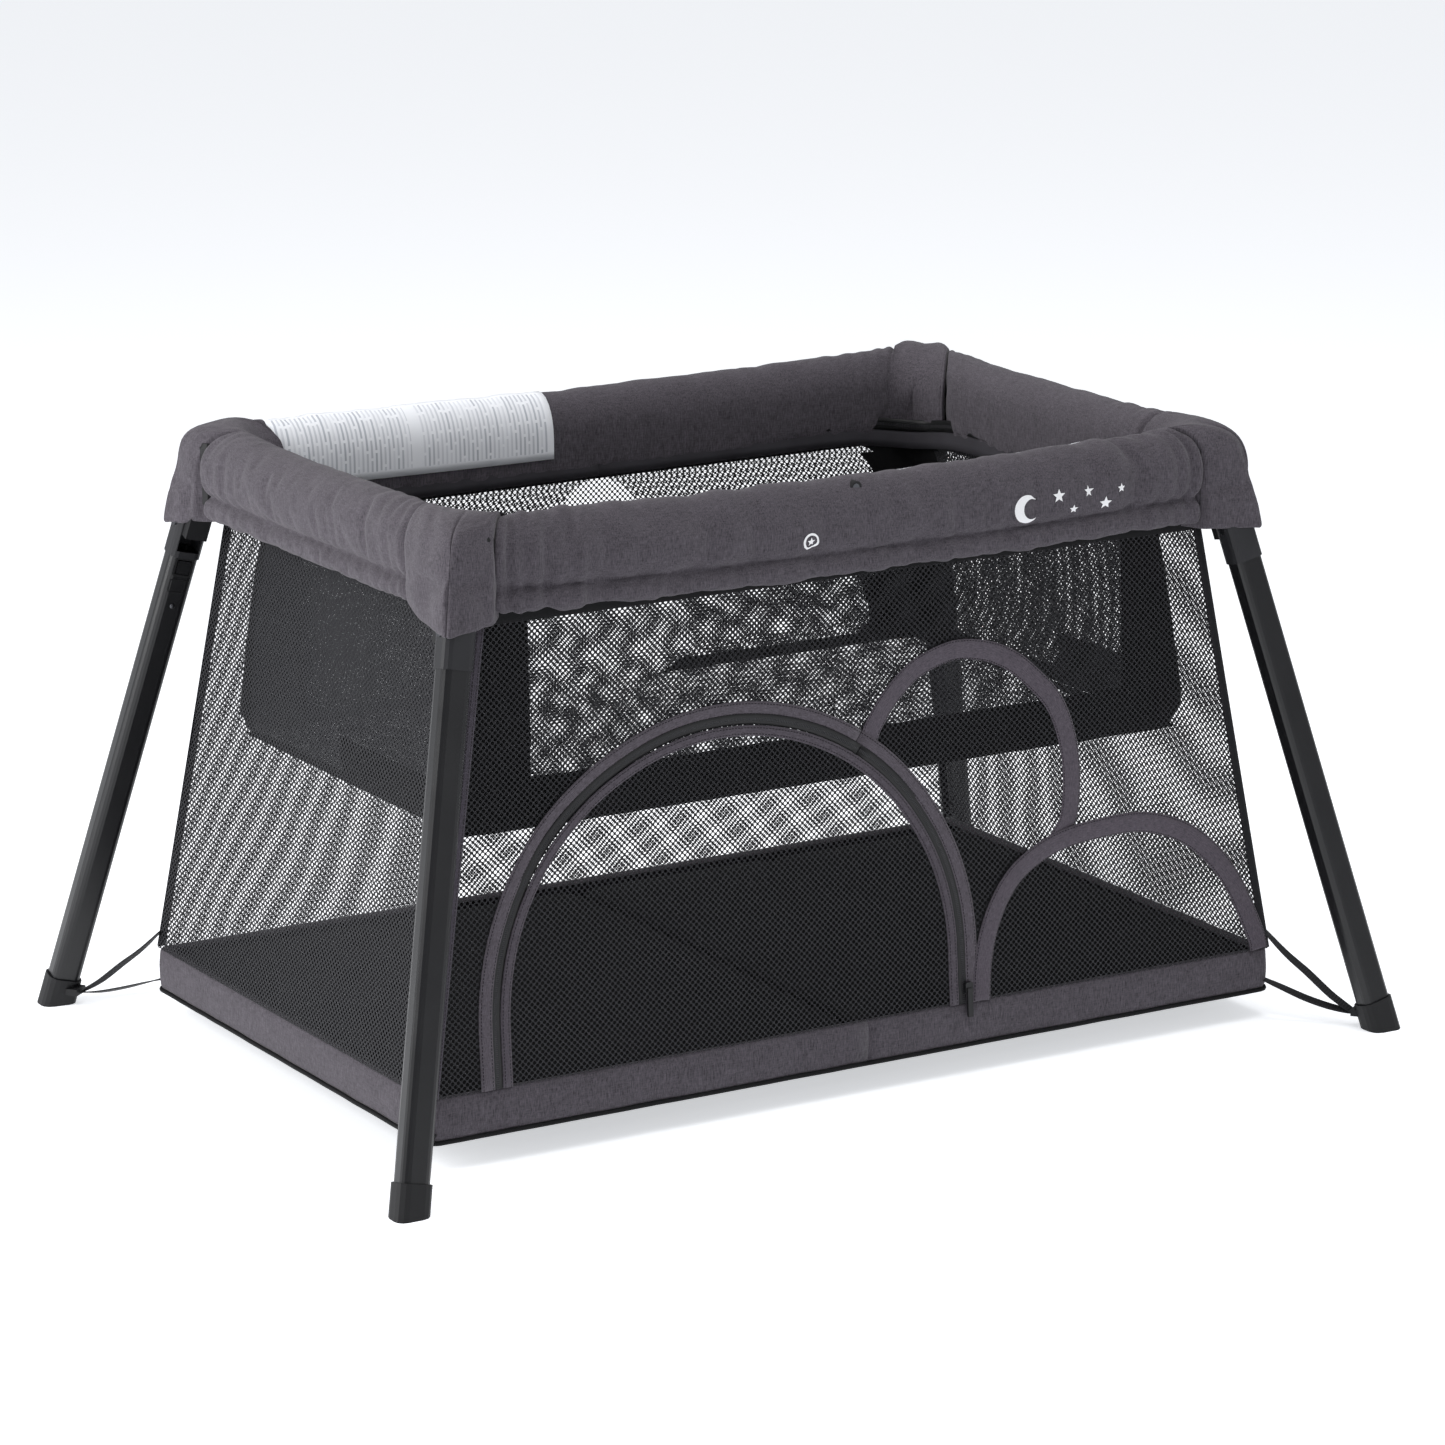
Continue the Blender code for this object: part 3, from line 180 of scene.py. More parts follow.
# Galvanised steel: a cold grey with faint lengthwise drawing lines and patchy bloom.
steel, steel_shader = start_material("drawn_steel_tube", "9a9a9c", 0.38, metallic=1.0)
steel_place = add_node(steel, "TexCoord").outputs["Object"]
steel_bloom = add_node(steel, "TexNoise", inputs={"Vector": steel_place, "Scale": 60.0, "Detail": 4.0})
steel_tone = add_node(steel, "ValToRGB", inputs={"Fac": steel_bloom.outputs["Fac"]})
steel_tone.color_ramp.elements[0].color = linear("8a8a8d")
steel_tone.color_ramp.elements[1].color = linear("a6a7aa")
steel.node_tree.links.new(steel_tone.outputs["Color"], steel_shader.inputs["Base Color"])
steel_rough = add_node(steel, "MapRange", inputs={"Value": steel_bloom.outputs["Fac"], "To Min": 0.30, "To Max": 0.48})
steel.node_tree.links.new(steel_rough.outputs["Result"], steel_shader.inputs["Roughness"])


def moulded_nylon(name, hex_colour, roughness, grain_mm=0.9, depth=0.08):
    """Spark-eroded nylon: a fine leathery grain that breaks up the shine, and a slightly uneven tone."""
    material, shader = start_material(name, hex_colour, roughness, specular=0.3)
    place = add_node(material, "TexCoord").outputs["Object"]
    grain = add_node(material, "TexVoronoi", inputs={"Vector": place, "Scale": 1000 / grain_mm})
    cloud = add_node(material, "TexNoise", inputs={"Vector": place, "Scale": 45.0, "Detail": 3.0})
    tone = add_node(material, "MixRGB", {"blend_type": "MULTIPLY"},
                    {0: 0.35, 1: linear(hex_colour), 2: cloud.outputs["Fac"]})
    rough = add_node(material, "MapRange", inputs={"Value": cloud.outputs["Fac"],
                                                   "To Min": roughness - 0.06, "To Max": roughness + 0.08})
    relief = add_node(material, "Bump", inputs={"Height": grain.outputs["Distance"],
                                                "Strength": depth, "Distance": 0.0003})
    material.node_tree.links.new(tone.outputs["Color"], shader.inputs["Base Color"])
    material.node_tree.links.new(rough.outputs["Result"], shader.inputs["Roughness"])
    material.node_tree.links.new(relief.outputs["Normal"], shader.inputs["Normal"])
    return material


black_nylon = moulded_nylon("moulded_black_nylon", "1b1b1d", 0.55)
dress(every("rail_tube", CORNERS) + every("rail_tube_end", ENDS), steel)
dress(every("corner_hub", CORNERS) + every("centre_bracket", CORNERS), black_nylon)

# Zinc-plated pins: dark grey metal with a soft mottled shine.
plated, plated_shader = start_material("black_zinc_plate", "55565a", 0.34, metallic=1.0)
plated_place = add_node(plated, "TexCoord").outputs["Object"]
plated_cloud = add_node(plated, "TexNoise", inputs={"Vector": plated_place, "Scale": 220.0, "Detail": 5.0})
plated_rough = add_node(plated, "MapRange", inputs={"Value": plated_cloud.outputs["Fac"], "To Min": 0.25, "To Max": 0.5})
plated.node_tree.links.new(plated_rough.outputs["Result"], plated_shader.inputs["Roughness"])
dress(["centre_pin_front", "centre_pin_rear"] + every("leg_pivot_pin", CORNERS), plated)

# ------------------------------------------------------------ legs
# Four splayed legs of oval aluminium tube with a matt black anodised skin. A charcoal nylon sleeve
# forks round the hub lug at the top, and a black nylon foot with a strap eye closes the bottom.
anodised, anodised_shader = start_material("black_anodised_aluminium", "111113", 0.30, specular=0.45)
anodised_place = add_node(anodised, "TexCoord").outputs["Object"]
# Extrusion lines run down the tube. They are under 0.3 mm wide on the real tube and are drawn at 1 mm.
anodised_lines = add_node(anodised, "Mapping", inputs={"Vector": anodised_place, "Scale": (1000.0, 1000.0, 12.0)})
anodised_drawn = add_node(anodised, "TexNoise", inputs={"Vector": anodised_lines.outputs["Vector"], "Scale": 1.0, "Detail": 2.0})
anodised_cloud = add_node(anodised, "TexNoise", inputs={"Vector": anodised_place, "Scale": 18.0, "Detail": 4.0})
anodised_rough = add_node(anodised, "MapRange", inputs={"Value": anodised_cloud.outputs["Fac"], "To Min": 0.24, "To Max": 0.40})
anodised_tone = add_node(anodised, "ValToRGB", inputs={"Fac": anodised_drawn.outputs["Fac"]})
anodised_tone.color_ramp.elements[0].color = linear("0d0d0f")
anodised_tone.color_ramp.elements[1].color = linear("17171a")
anodised_relief = add_node(anodised, "Bump", inputs={"Height": anodised_drawn.outputs["Fac"], "Strength": 0.05, "Distance": 0.0002})
anodised.node_tree.links.new(anodised_tone.outputs["Color"], anodised_shader.inputs["Base Color"])
anodised.node_tree.links.new(anodised_rough.outputs["Result"], anodised_shader.inputs["Roughness"])
anodised.node_tree.links.new(anodised_relief.outputs["Normal"], anodised_shader.inputs["Normal"])

charcoal_nylon = moulded_nylon("moulded_charcoal_nylon", "2b2b2e", 0.48)
gloss_nylon = moulded_nylon("polished_black_nylon", "1b1b1d", 0.30, depth=0.03)
dress(every("leg_tube", CORNERS), anodised)
dress(every("leg_sleeve", CORNERS), charcoal_nylon)
dress(every("foot", CORNERS), black_nylon)
dress(every("release_button", CORNERS), gloss_nylon)

LEG_DEPTH = 0.026
joints = {joint["name"]: joint for joint in frame["record"]["behaviour"]["joints"]}
mounts = {mount["name"]: mount for mount in frame["record"]["mounts"]}


def leg_frame(corner):
    """Leg axes at the pivot: X on the hinge, Z up the leg, Y to the folding side."""
    joint = joints["leg_fold_" + corner]
    pivot = Vector(joint["pos_m"])
    up = (pivot - Vector(mounts["foot_" + corner]["pos_m"])).normalized()
    across = Vector(joint["axis"]).normalized()
    fold = up.cross(across)
    return Matrix.Translation(pivot) @ Matrix((across, fold, up)).transposed().to_4x4()


def plate_ring(width, height, band, thick, corner):
    """A thin rounded frame, flat on the XZ plane, that stands out along +Y."""
    mesh = bmesh.new()
    bmesh.ops.create_grid(mesh, x_segments=1, y_segments=1, size=0.5)
    bmesh.ops.scale(mesh, vec=(width, height, 1), verts=mesh.verts)
    bmesh.ops.bevel(mesh, geom=mesh.verts[:], offset=corner, offset_type="OFFSET", segments=4,
                    profile=0.5, affect="VERTICES", material=-1)
    inner = bmesh.ops.inset_region(mesh, faces=mesh.faces[:], thickness=band, use_boundary=True)
    hole = [face for face in mesh.faces if face not in inner["faces"]]
    bmesh.ops.delete(mesh, geom=hole, context="FACES")
    grown = bmesh.ops.extrude_face_region(mesh, geom=mesh.faces[:])["geom"]
    bmesh.ops.translate(mesh, vec=(0, 0, thick), verts=[v for v in grown if isinstance(v, bmesh.types.BMVert)])
    bmesh.ops.recalc_face_normals(mesh, faces=mesh.faces)
    bmesh.ops.rotate(mesh, cent=(0, 0, 0), matrix=Matrix.Rotation(math.radians(-90), 3, "X"), verts=mesh.verts)
    return mesh


for corner in CORNERS:
    axes = leg_frame(corner)
    surround = plate_ring(0.0215, 0.0215, 0.0024, 0.0011, 0.004)
    bmesh.ops.translate(surround, vec=(0, LEG_DEPTH / 2 - 0.0002, -0.047), verts=surround.verts)
    lower = plate_ring(0.0215, 0.0150, 0.0012, 0.0008, 0.003)
    bmesh.ops.translate(lower, vec=(0, LEG_DEPTH / 2 - 0.0002, -0.0685), verts=lower.verts)
    for number, mesh in enumerate((surround, lower)):
        bmesh.ops.transform(mesh, matrix=axes, verts=mesh.verts)
        trim = make_piece("button_surround_%s_%d" % (corner, number), mesh, black_nylon)
        trim.data.polygons.foreach_set("use_smooth", [False] * len(trim.data.polygons))
        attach(trim, "leg_" + corner)
    rivet = bmesh.new()
    bmesh.ops.create_uvsphere(rivet, u_segments=20, v_segments=10, radius=0.0028)
    bmesh.ops.scale(rivet, vec=(1, 0.45, 1), verts=rivet.verts)
    bmesh.ops.translate(rivet, vec=(0, LEG_DEPTH / 2, -0.091), verts=rivet.verts)
    bmesh.ops.transform(rivet, matrix=axes, verts=rivet.verts)
    stud = make_piece("tube_rivet_" + corner, rivet, plated)
    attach(stud, "leg_" + corner)

# ------------------------------------------------------------ rail covers
# Foam sleeves in heather grey polyester round the rail. A stitched channel splits each into a puffy
# upper roll and a flatter band, and the cloth gathers where it is sewn to the corner caps.


def loft(name, rows, ring=False, capped=False, flat=None):
    """Skins rows of points into cloth by extruding the first row through the others. The UV map is in metres."""
    mesh = bmesh.new()
    rows = [[Vector(point) for point in row] for row in rows]
    count = len(rows[0])
    line = [mesh.verts.new(point) for point in rows[0]]
    links = list(zip(line, line[1:])) + ([(line[-1], line[0])] if ring else [])
    edges = [mesh.edges.new(link) for link in links]
    first_edges = list(edges)
    spot = {vert: (0, column) for column, vert in enumerate(line)}
    for number, row in enumerate(rows[1:], 1):
        grown = bmesh.ops.extrude_edge_only(mesh, edges=edges)["geom"]
        fresh = {tuple(item.co): item for item in grown if isinstance(item, bmesh.types.BMVert) and item not in spot}
        line = [fresh[tuple(vert.co)] for vert in line]
        edges = [mesh.edges.get(link) for link in
                 list(zip(line, line[1:])) + ([(line[-1], line[0])] if ring else [])]
        for column, vert in enumerate(line):
            vert.co = row[column]
            spot[vert] = (number, column)
    middle = rows[len(rows) // 2]
    across = [0.0]
    for near, far in zip(middle, middle[1:] + middle[:1]):
        across.append(across[-1] + (far - near).length)
    along = [0.0]
    for before, after in zip(rows, rows[1:]):
        along.append(along[-1] + max((after[c] - before[c]).length for c in range(0, count, max(1, count // 4))))
    layer = mesh.loops.layers.uv.new("cloth")
    for face in mesh.faces:
        columns = [spot[loop.vert][1] for loop in face.loops]
        wraps = ring and max(columns) == count - 1 and min(columns) == 0
        for loop in face.loops:
            number, column = spot[loop.vert]
            if flat:
                loop[layer].uv = flat(loop.vert.co)
            else:
                width = across[count] if wraps and column == 0 else across[column]
                loop[layer].uv = (width - across[count - (0 if ring else 1)] / 2, along[number])
    if capped:
        for rim in (first_edges, edges):
            bmesh.ops.contextual_create(mesh, geom=rim)
    if ring:
        bmesh.ops.recalc_face_normals(mesh, faces=mesh.faces)
    return mesh


def puff(piece, held, most, slack=0.03, pressure=4.0):
    """Blows a cover up with a cloth simulation. Held points stay, and no point moves further than most."""
    rest = np.array([vert.co for vert in piece.data.vertices])
    sewn = piece.vertex_groups.new(name="sewn")
    sewn.add([vert.index for vert in piece.data.vertices if held(vert.co)], 1.0, "REPLACE")
    cloth = piece.modifiers.new("filling", "CLOTH")
    cloth.settings.vertex_group_mass = "sewn"
    cloth.settings.use_pressure = True
    cloth.settings.uniform_pressure_force = pressure
    cloth.settings.shrink_min = -slack
    cloth.settings.effector_weights.gravity = 0.0
    cloth.settings.bending_stiffness = 0.3
    cloth.collision_settings.use_collision = False
    cloth.point_cache.frame_end = 20
    for step in range(1, 21):
        scene.frame_set(step)
    shape = piece.evaluated_get(bpy.context.evaluated_depsgraph_get()).data
    blown = np.array([vert.co for vert in shape.vertices])
    shift = blown - rest
    far = np.linalg.norm(shift, axis=1, keepdims=True)
    blown = rest + shift * np.minimum(1.0, most / np.maximum(far, 1e-9))
    piece.modifiers.remove(cloth)
    piece.vertex_groups.remove(sewn)
    piece.data.vertices.foreach_set("co", blown.astype(np.float32).ravel())
    piece.data.update()
    scene.frame_set(1)


def soften(piece, levels=1):
    """Finishes a sewn cover with a subdivision surface."""
    smooth = piece.modifiers.new("smooth_cloth", "SUBSURF")
    smooth.levels = levels
    smooth.render_levels = levels
    smooth.boundary_smooth = "PRESERVE_CORNERS"


def bake_modifiers(piece):
    """Turns what the modifiers make into the piece's own mesh."""
    graph = bpy.context.evaluated_depsgraph_get()
    data = bpy.data.meshes.new_from_object(piece.evaluated_get(graph), depsgraph=graph)
    piece.modifiers.clear()
    piece.data = data


# Heather polyester: a plain weave of dark grey yarn with paler slubs, matt, with a faint bloom.
# Its yarns are 0.35 mm thick on the real cloth and are drawn at about 1 mm so that they show.
def heather(name, dark, pale, width=None):
    """Heather cloth. With a width it is a cut tape, with a line of stitches 2 mm in from each edge."""
    material, shader = start_material(name, dark, 0.92, specular=0.12)
    source = add_node(material, "TexCoord").outputs["UV" if width else "Object"]
    warp = add_node(material, "Mapping", inputs={"Vector": source, "Scale": (1100.0, 170.0 if width else 1100.0, 130.0)})
    weft = add_node(material, "Mapping", inputs={"Vector": source, "Scale": (150.0, 900.0 if width else 150.0, 900.0)})
    warp_yarn = add_node(material, "TexNoise", inputs={"Vector": warp.outputs["Vector"], "Scale": 1.0, "Detail": 3.0, "Roughness": 0.7})
    weft_yarn = add_node(material, "TexNoise", inputs={"Vector": weft.outputs["Vector"], "Scale": 1.0, "Detail": 3.0, "Roughness": 0.7})
    patches = add_node(material, "TexNoise", inputs={"Vector": source, "Scale": 38.0, "Detail": 3.0})
    yarn = add_node(material, "Math", {"operation": "MULTIPLY_ADD"}, {0: weft_yarn.outputs["Fac"], 1: 0.45, 2: warp_yarn.outputs["Fac"]})
    blend_in = add_node(material, "Math", {"operation": "MULTIPLY_ADD"}, {0: patches.outputs["Fac"], 1: 0.10, 2: yarn.outputs["Value"]})
    spread = add_node(material, "MapRange", inputs={"Value": blend_in.outputs["Value"], "From Min": 0.50, "From Max": 1.06})
    tone = add_node(material, "ValToRGB", inputs={"Fac": spread.outputs["Result"]})
    tone.color_ramp.elements[0].color = linear(dark)
    tone.color_ramp.elements[1].color = linear(pale)
    colour = tone.outputs["Color"]
    height = yarn.outputs["Value"]
    if width:
        split = add_node(material, "SeparateXYZ", inputs={"Vector": source})
        off = add_node(material, "Math", {"operation": "ABSOLUTE"}, {0: split.outputs["X"]})
        row = add_node(material, "Math", {"operation": "COMPARE"}, {0: off.outputs["Value"], 1: width / 2 - 0.002, 2: 0.0005})
        beat = add_node(material, "Math", {"operation": "FRACT"}, {0: add_node(
            material, "Math", {"operation": "MULTIPLY"}, {0: split.outputs["Y"], 1: 1000 / 3.6}).outputs["Value"]})
        on = add_node(material, "Math", {"operation": "LESS_THAN"}, {0: beat.outputs["Value"], 1: 0.68})
        stitch = add_node(material, "Math", {"operation": "MULTIPLY"}, {0: row.outputs["Value"], 1: on.outputs["Value"]})
        colour = add_node(material, "MixRGB", inputs={0: stitch.outputs["Value"], 1: colour, 2: linear("29262a")}).outputs["Color"]
        height = add_node(material, "Math", {"operation": "MULTIPLY_ADD"}, {0: row.outputs["Value"], 1: -1.5, 2: height}).outputs["Value"]
    relief = add_node(material, "Bump", inputs={"Height": height, "Strength": 0.35, "Distance": 0.0006})
    material.node_tree.links.new(colour, shader.inputs["Base Color"])
    material.node_tree.links.new(relief.outputs["Normal"], shader.inputs["Normal"])
    shader.inputs["Sheen Weight"].default_value = 0.12
    shader.inputs["Sheen Roughness"].default_value = 0.5
    return material


rail_heather = heather("heather_polyester_rail", "2d2a2e", "645f66")

RAIL_TOP = 0.640
INNER_X = 0.4065              # inner face of the end sleeves
INNER_Y = 0.2395              # inner face of the long sleeves
SLEEVE_WIDTH = 0.057

# Section of a sleeve in millimetres: distance out from the inner face, and depth below the top.
SLEEVE_SHAPE = [(4, 96.5), (0.5, 93), (0, 86), (0, 78), (-0.3, 70), (-0.5, 62), (-0.5, 54), (-0.3, 46),
                (0.3, 38), (1.8, 30), (4.6, 22), (8.6, 14.5), (14, 8), (20.5, 3.2), (28.5, 0.8), (36.5, 2.6),
                (43.5, 7), (49, 13.5), (53, 21), (55.6, 29), (57, 37), (57.6, 45), (57.4, 53), (56.6, 60),
                (55.0, 65.5), (52.4, 69.6), (49.6, 72), (51.4, 74), (54.2, 77), (55.9, 81.5), (56.5, 86.5),
                (55.6, 91.5), (53, 95.5), (48, 97.3), (38, 97), (26, 97), (14, 97)]


def section_normals(shape):
    """Outward directions round a closed section."""
    out = []
    for at, here in enumerate(shape):
        before, after = shape[at - 1], shape[(at + 1) % len(shape)]
        run = Vector((after[0] - before[0], after[1] - before[1]))
        out.append(Vector((run.y, -run.x)).normalized())
    return out


def ease(value):
    """A smooth step from 0 to 1."""
    value = min(1.0, max(0.0, value))
    return value * value * (3 - 2 * value)


def gathers(along, from_end, out, depth, seed, fullness):
    """How far cloth stands out at a point: soft upright folds, deeper pleats by the sewn end."""
    near = math.exp(-from_end / 0.075)
    folds = noise.noise(Vector((along * 36 + seed, seed * 3.1, depth * 5.0))) * (0.0018 + 0.0024 * near)
    fine = noise.noise(Vector((along * 95 + seed, seed, depth * 16.0))) * (0.0007 + 0.0008 * near)
    pleats = 0.0
    for place, deep, wide in ((0.017, 0.0036, 0.0034), (0.034, 0.0030, 0.0042), (0.055, 0.0018, 0.005), (0.082, 0.0022, 0.007)):
        lean = place + 0.010 * (depth - 0.035)
        pleats -= deep * math.exp(-((from_end - lean) / wide) ** 2)
    band = 0.0
    if depth > 0.073:
        band = noise.noise(Vector((along * 120 + seed, 4.0, depth * 30))) * (0.0010 + 0.0016 * near)
        pleats *= 0.5
    outside = fullness * ease((out - 0.008) / 0.03)
    tuck = -0.0042 * math.exp(-(from_end / 0.0045) ** 2)
    return (folds + fine + pleats + band) * (0.15 + 0.85 * outside) + tuck


SLEEVE_NORMALS = section_normals(SLEEVE_SHAPE)


def sleeve_rows(half_at, place, stations, sag, seed, fullness, drop=0.0):
    """Rows of a sleeve. half_at(out) is its half length at a distance out, place puts a point in the pen.
    Fullness scales its gathers, and drop is how far the band's lower edge comes down to meet the caps."""
    rows = []
    steps = [-1 + 2 * number / stations for number in range(stations + 1)]
    pull = 0.9955
    steps = [-1, -pull] + [step for step in steps if abs(step) < 0.988] + [pull, 1]
    for step in steps:
        row = []
        for (out_mm, deep_mm), normal in zip(SLEEVE_SHAPE, SLEEVE_NORMALS):
            out, deep = out_mm / 1000, deep_mm / 1000
            half = half_at(out, step)
            along = step * half
            lift = gathers(along, half - abs(along), out, deep, seed, fullness)
            out += normal.x * lift
            deep += normal.y * lift
            deep += drop * ease((deep - 0.076) / 0.02) * math.exp(-(half - abs(along)) / 0.03)
            row.append(place(along, out, deep + sag * (1 - step * step)))
        rows.append(row)
    return rows


def rail_cover(name, rows, seam_test, swell):
    """A closed sleeve with its filling blown up between its sewn lines."""
    piece = make_piece(name, loft(name, rows, ring=True, capped=True), rail_heather)
    puff(piece, seam_test, swell)
    soften(piece)
    bake_modifiers(piece)
    return piece


SEAM_DEPTH = 0.072            # top of the rail down to the stitched channel
BAND_DROP = 0.007             # the long sleeves' lower edge at the caps, below its middle
LONG_SAG = {"front": 0.0070, "rear": 0.0040}

for side, way in (("front", -1), ("rear", 1)):
    def long_half(out, step):
        return 0.376 + (0.415 - 0.376) * min(1.0, max(0.0, out / SLEEVE_WIDTH))

    def long_place(along, out, deep, way=way):
        return (along, way * (INNER_Y + out), RAIL_TOP - deep)

    def long_held(point, way=way, side=side):
        out = way * point.y - INNER_Y
        deep = RAIL_TOP - point.z - LONG_SAG[side] * (1 - (point.x / 0.4) ** 2)
        from_end = 0.376 + 0.039 * out / SLEEVE_WIDTH - abs(point.x)
        return from_end < 0.005 or (abs(deep - SEAM_DEPTH) < 0.0016 and out > 0.03) or deep > 0.0955

    sleeve = rail_cover("rail_sleeve_" + side, sleeve_rows(long_half, long_place, 150, LONG_SAG[side], 3.0 + way,
                                                             2.0 if way < 0 else 0.7, BAND_DROP),
                        long_held, 0.0035)
    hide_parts("rail_pad_%s_left" % side, "rail_pad_%s_right" % side)
    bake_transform(sleeve)

END_SEAMS = {-1: 0.200, 1: 0.255}     # outer cap seams along the end rails, front and rear

for end, way in (("left", -1), ("right", 1)):
    def end_half(out, step):
        reach = END_SEAMS[-1 if step < 0 else 1]
        return 0.186 + (reach - 0.186) * min(1.0, max(0.0, out / SLEEVE_WIDTH))

    def end_place(along, out, deep, way=way):
        return (way * (INNER_X + out), along, RAIL_TOP - deep)

    def end_held(point, way=way):
        out = way * point.x - INNER_X
        deep = RAIL_TOP - point.z
        from_end = end_half(out, point.y) - abs(point.y)
        return from_end < 0.005 or (abs(deep - SEAM_DEPTH) < 0.0016 and out > 0.03) or deep > 0.0955

    sleeve = rail_cover("rail_sleeve_" + end, sleeve_rows(end_half, end_place, 84, 0.0, 9.0 + way, 0.4), end_held, 0.0035)
    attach(sleeve, end + "_half")

# ------------------------------------------------------------ corner caps
# Each corner has a sewn cap of the same cloth over the hub. It is taller and wider than the sleeves,
# flares over the top of the leg, and has one upright seam down its outer corner.
CAP_SHAPE = [(4, 96.5), (0.5, 93), (0, 86), (0, 78), (-0.3, 70), (-0.5, 62), (-0.5, 54), (-0.3, 46),
             (0.3, 38), (1.8, 30), (4.8, 21), (9, 13.5), (15, 7), (22, 2.6), (30, 0.6), (38.5, 1.2),
             (46.5, 3.9), (53, 8.8), (57.8, 15.5), (60.8, 24), (62.6, 34), (63.8, 44), (64.8, 53), (66, 60),
             (67.2, 66.5), (68.2, 71.5), (69, 76), (69.8, 80.5), (70.7, 86), (71.8, 93), (72.8, 100),
             (73.6, 106), (72.6, 108.4), (70.2, 107.6), (68.0, 100), (62, 97.5), (14, 97)]
CORNER_RADIUS = ((0.0, 0.046), (0.030, 0.034), (0.057, 0.015), (0.075, 0.009))


def radius_at(out):
    """Plan radius of the cap's corner at a distance out from the inner faces."""
    for (near, first), (far, last) in zip(CORNER_RADIUS, CORNER_RADIUS[1:]):
        if out <= far:
            return first + (last - first) * max(0.0, out - near) / (far - near)
    return CORNER_RADIUS[-1][1]


def corner_point(out, share, start_a, start_b):
    """Plan point on a line round the corner, at share 0 on the long rail and 1 on the end rail."""
    radius = radius_at(out)
    centre = -out + radius
    if share < 0.4:
        return start_a + (centre - start_a) * share / 0.4, -out
    if share > 0.6:
        return -out, centre + (start_b - centre) * (share - 0.6) / 0.4
    turn = math.radians(90) * (share - 0.4) / 0.2
    return centre - radius * math.sin(turn), centre - radius * math.cos(turn)


CAP_SHARES = ([0, 0.012] + [0.04 + 0.04 * n for n in range(9)]
              + [0.40, 0.43, 0.46, 0.485, 0.496, 0.5, 0.504, 0.515, 0.54, 0.57, 0.60]
              + [0.64 + 0.04 * n for n in range(9)] + [0.988, 1])

for corner in CORNERS:
    side, end = corner.split("_")
    way_x = -1 if end == "left" else 1
    way_y = -1 if side == "front" else 1
    seed = 20 + 3 * way_x + 7 * way_y
    rows = []
    for share in CAP_SHARES:
        from_end = min(share, 1 - share)
        full = ease(from_end / 0.30)
        skirt = min(1.0, from_end / 0.46) ** 0.8
        row = []
        for at, (cap_mm, sleeve_mm) in enumerate(zip(CAP_SHAPE, SLEEVE_SHAPE)):
            base = (sleeve_mm[0] + 0.8 * SLEEVE_NORMALS[at].x, sleeve_mm[1] + 0.8 * SLEEVE_NORMALS[at].y)
            if 24 <= at <= 28:
                base = (56.8, base[1])
            if share < 0.5:
                base = (base[0], base[1] + 1000 * BAND_DROP * ease((base[1] - 76) / 20))
            lower = full if cap_mm[1] < 60 else skirt
            out = (base[0] + (cap_mm[0] - base[0]) * lower) / 1000
            deep = (base[1] + (cap_mm[1] - base[1]) * lower) / 1000
            share_out = min(1.0, max(0.0, out / SLEEVE_WIDTH))
            start_a = INNER_X - (0.376 + 0.039 * share_out)
            start_b = INNER_Y - (0.186 + (END_SEAMS[way_y] - 0.186) * share_out)
            run = noise.noise(Vector((share * 9 + seed, deep * 22, seed))) * 0.0022 * ease((out - 0.01) / 0.03)
            run -= 0.0036 * math.exp(-(from_end / 0.012) ** 2)
            if out > 0.03:
                run -= 0.0013 * math.exp(-((share - 0.5) / 0.005) ** 2)
            out += SLEEVE_NORMALS[at].x * run
            deep += SLEEVE_NORMALS[at].y * run
            a, b = corner_point(out, share, start_a, start_b)
            row.append((way_x * (INNER_X - a), way_y * (INNER_Y - b), RAIL_TOP - deep))
        rows.append(row)

    def cap_held(point, way_x=way_x, way_y=way_y):
        from_seam = abs((abs(point.x) - INNER_X) - (abs(point.y) - INNER_Y))
        outer = min(abs(point.x) - INNER_X, abs(point.y) - INNER_Y) > 0.03
        end_a = abs(point.x) < 0.380 + 0.039 * max(0.0, abs(point.y) - INNER_Y) / SLEEVE_WIDTH
        end_b = abs(point.y) < 0.190 + (END_SEAMS[way_y] - 0.186) * max(0.0, abs(point.x) - INNER_X) / SLEEVE_WIDTH
        return end_a or end_b or point.z < 0.552 or (outer and from_seam < 0.002)

    cap = rail_cover("corner_cap_" + corner, rows, cap_held, 0.003)
    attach(cap, end + "_half")
    if side == "front":
        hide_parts("end_pad_" + end)

# ------------------------------------------------------------ base
# The floor panel slips into a sewn tray: a heather band round the edge, black piping under it and a
# black nylon bottom that sags a little between the panel's edges.
BASE_HALF_X = 0.501
BASE_HALF_Y = 0.307


def on_half(piece, end):
    """The piece belongs to one half of the pen: it is parented to that half and has a mesh of its own."""
    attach(piece, end + "_half")
    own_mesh(piece)


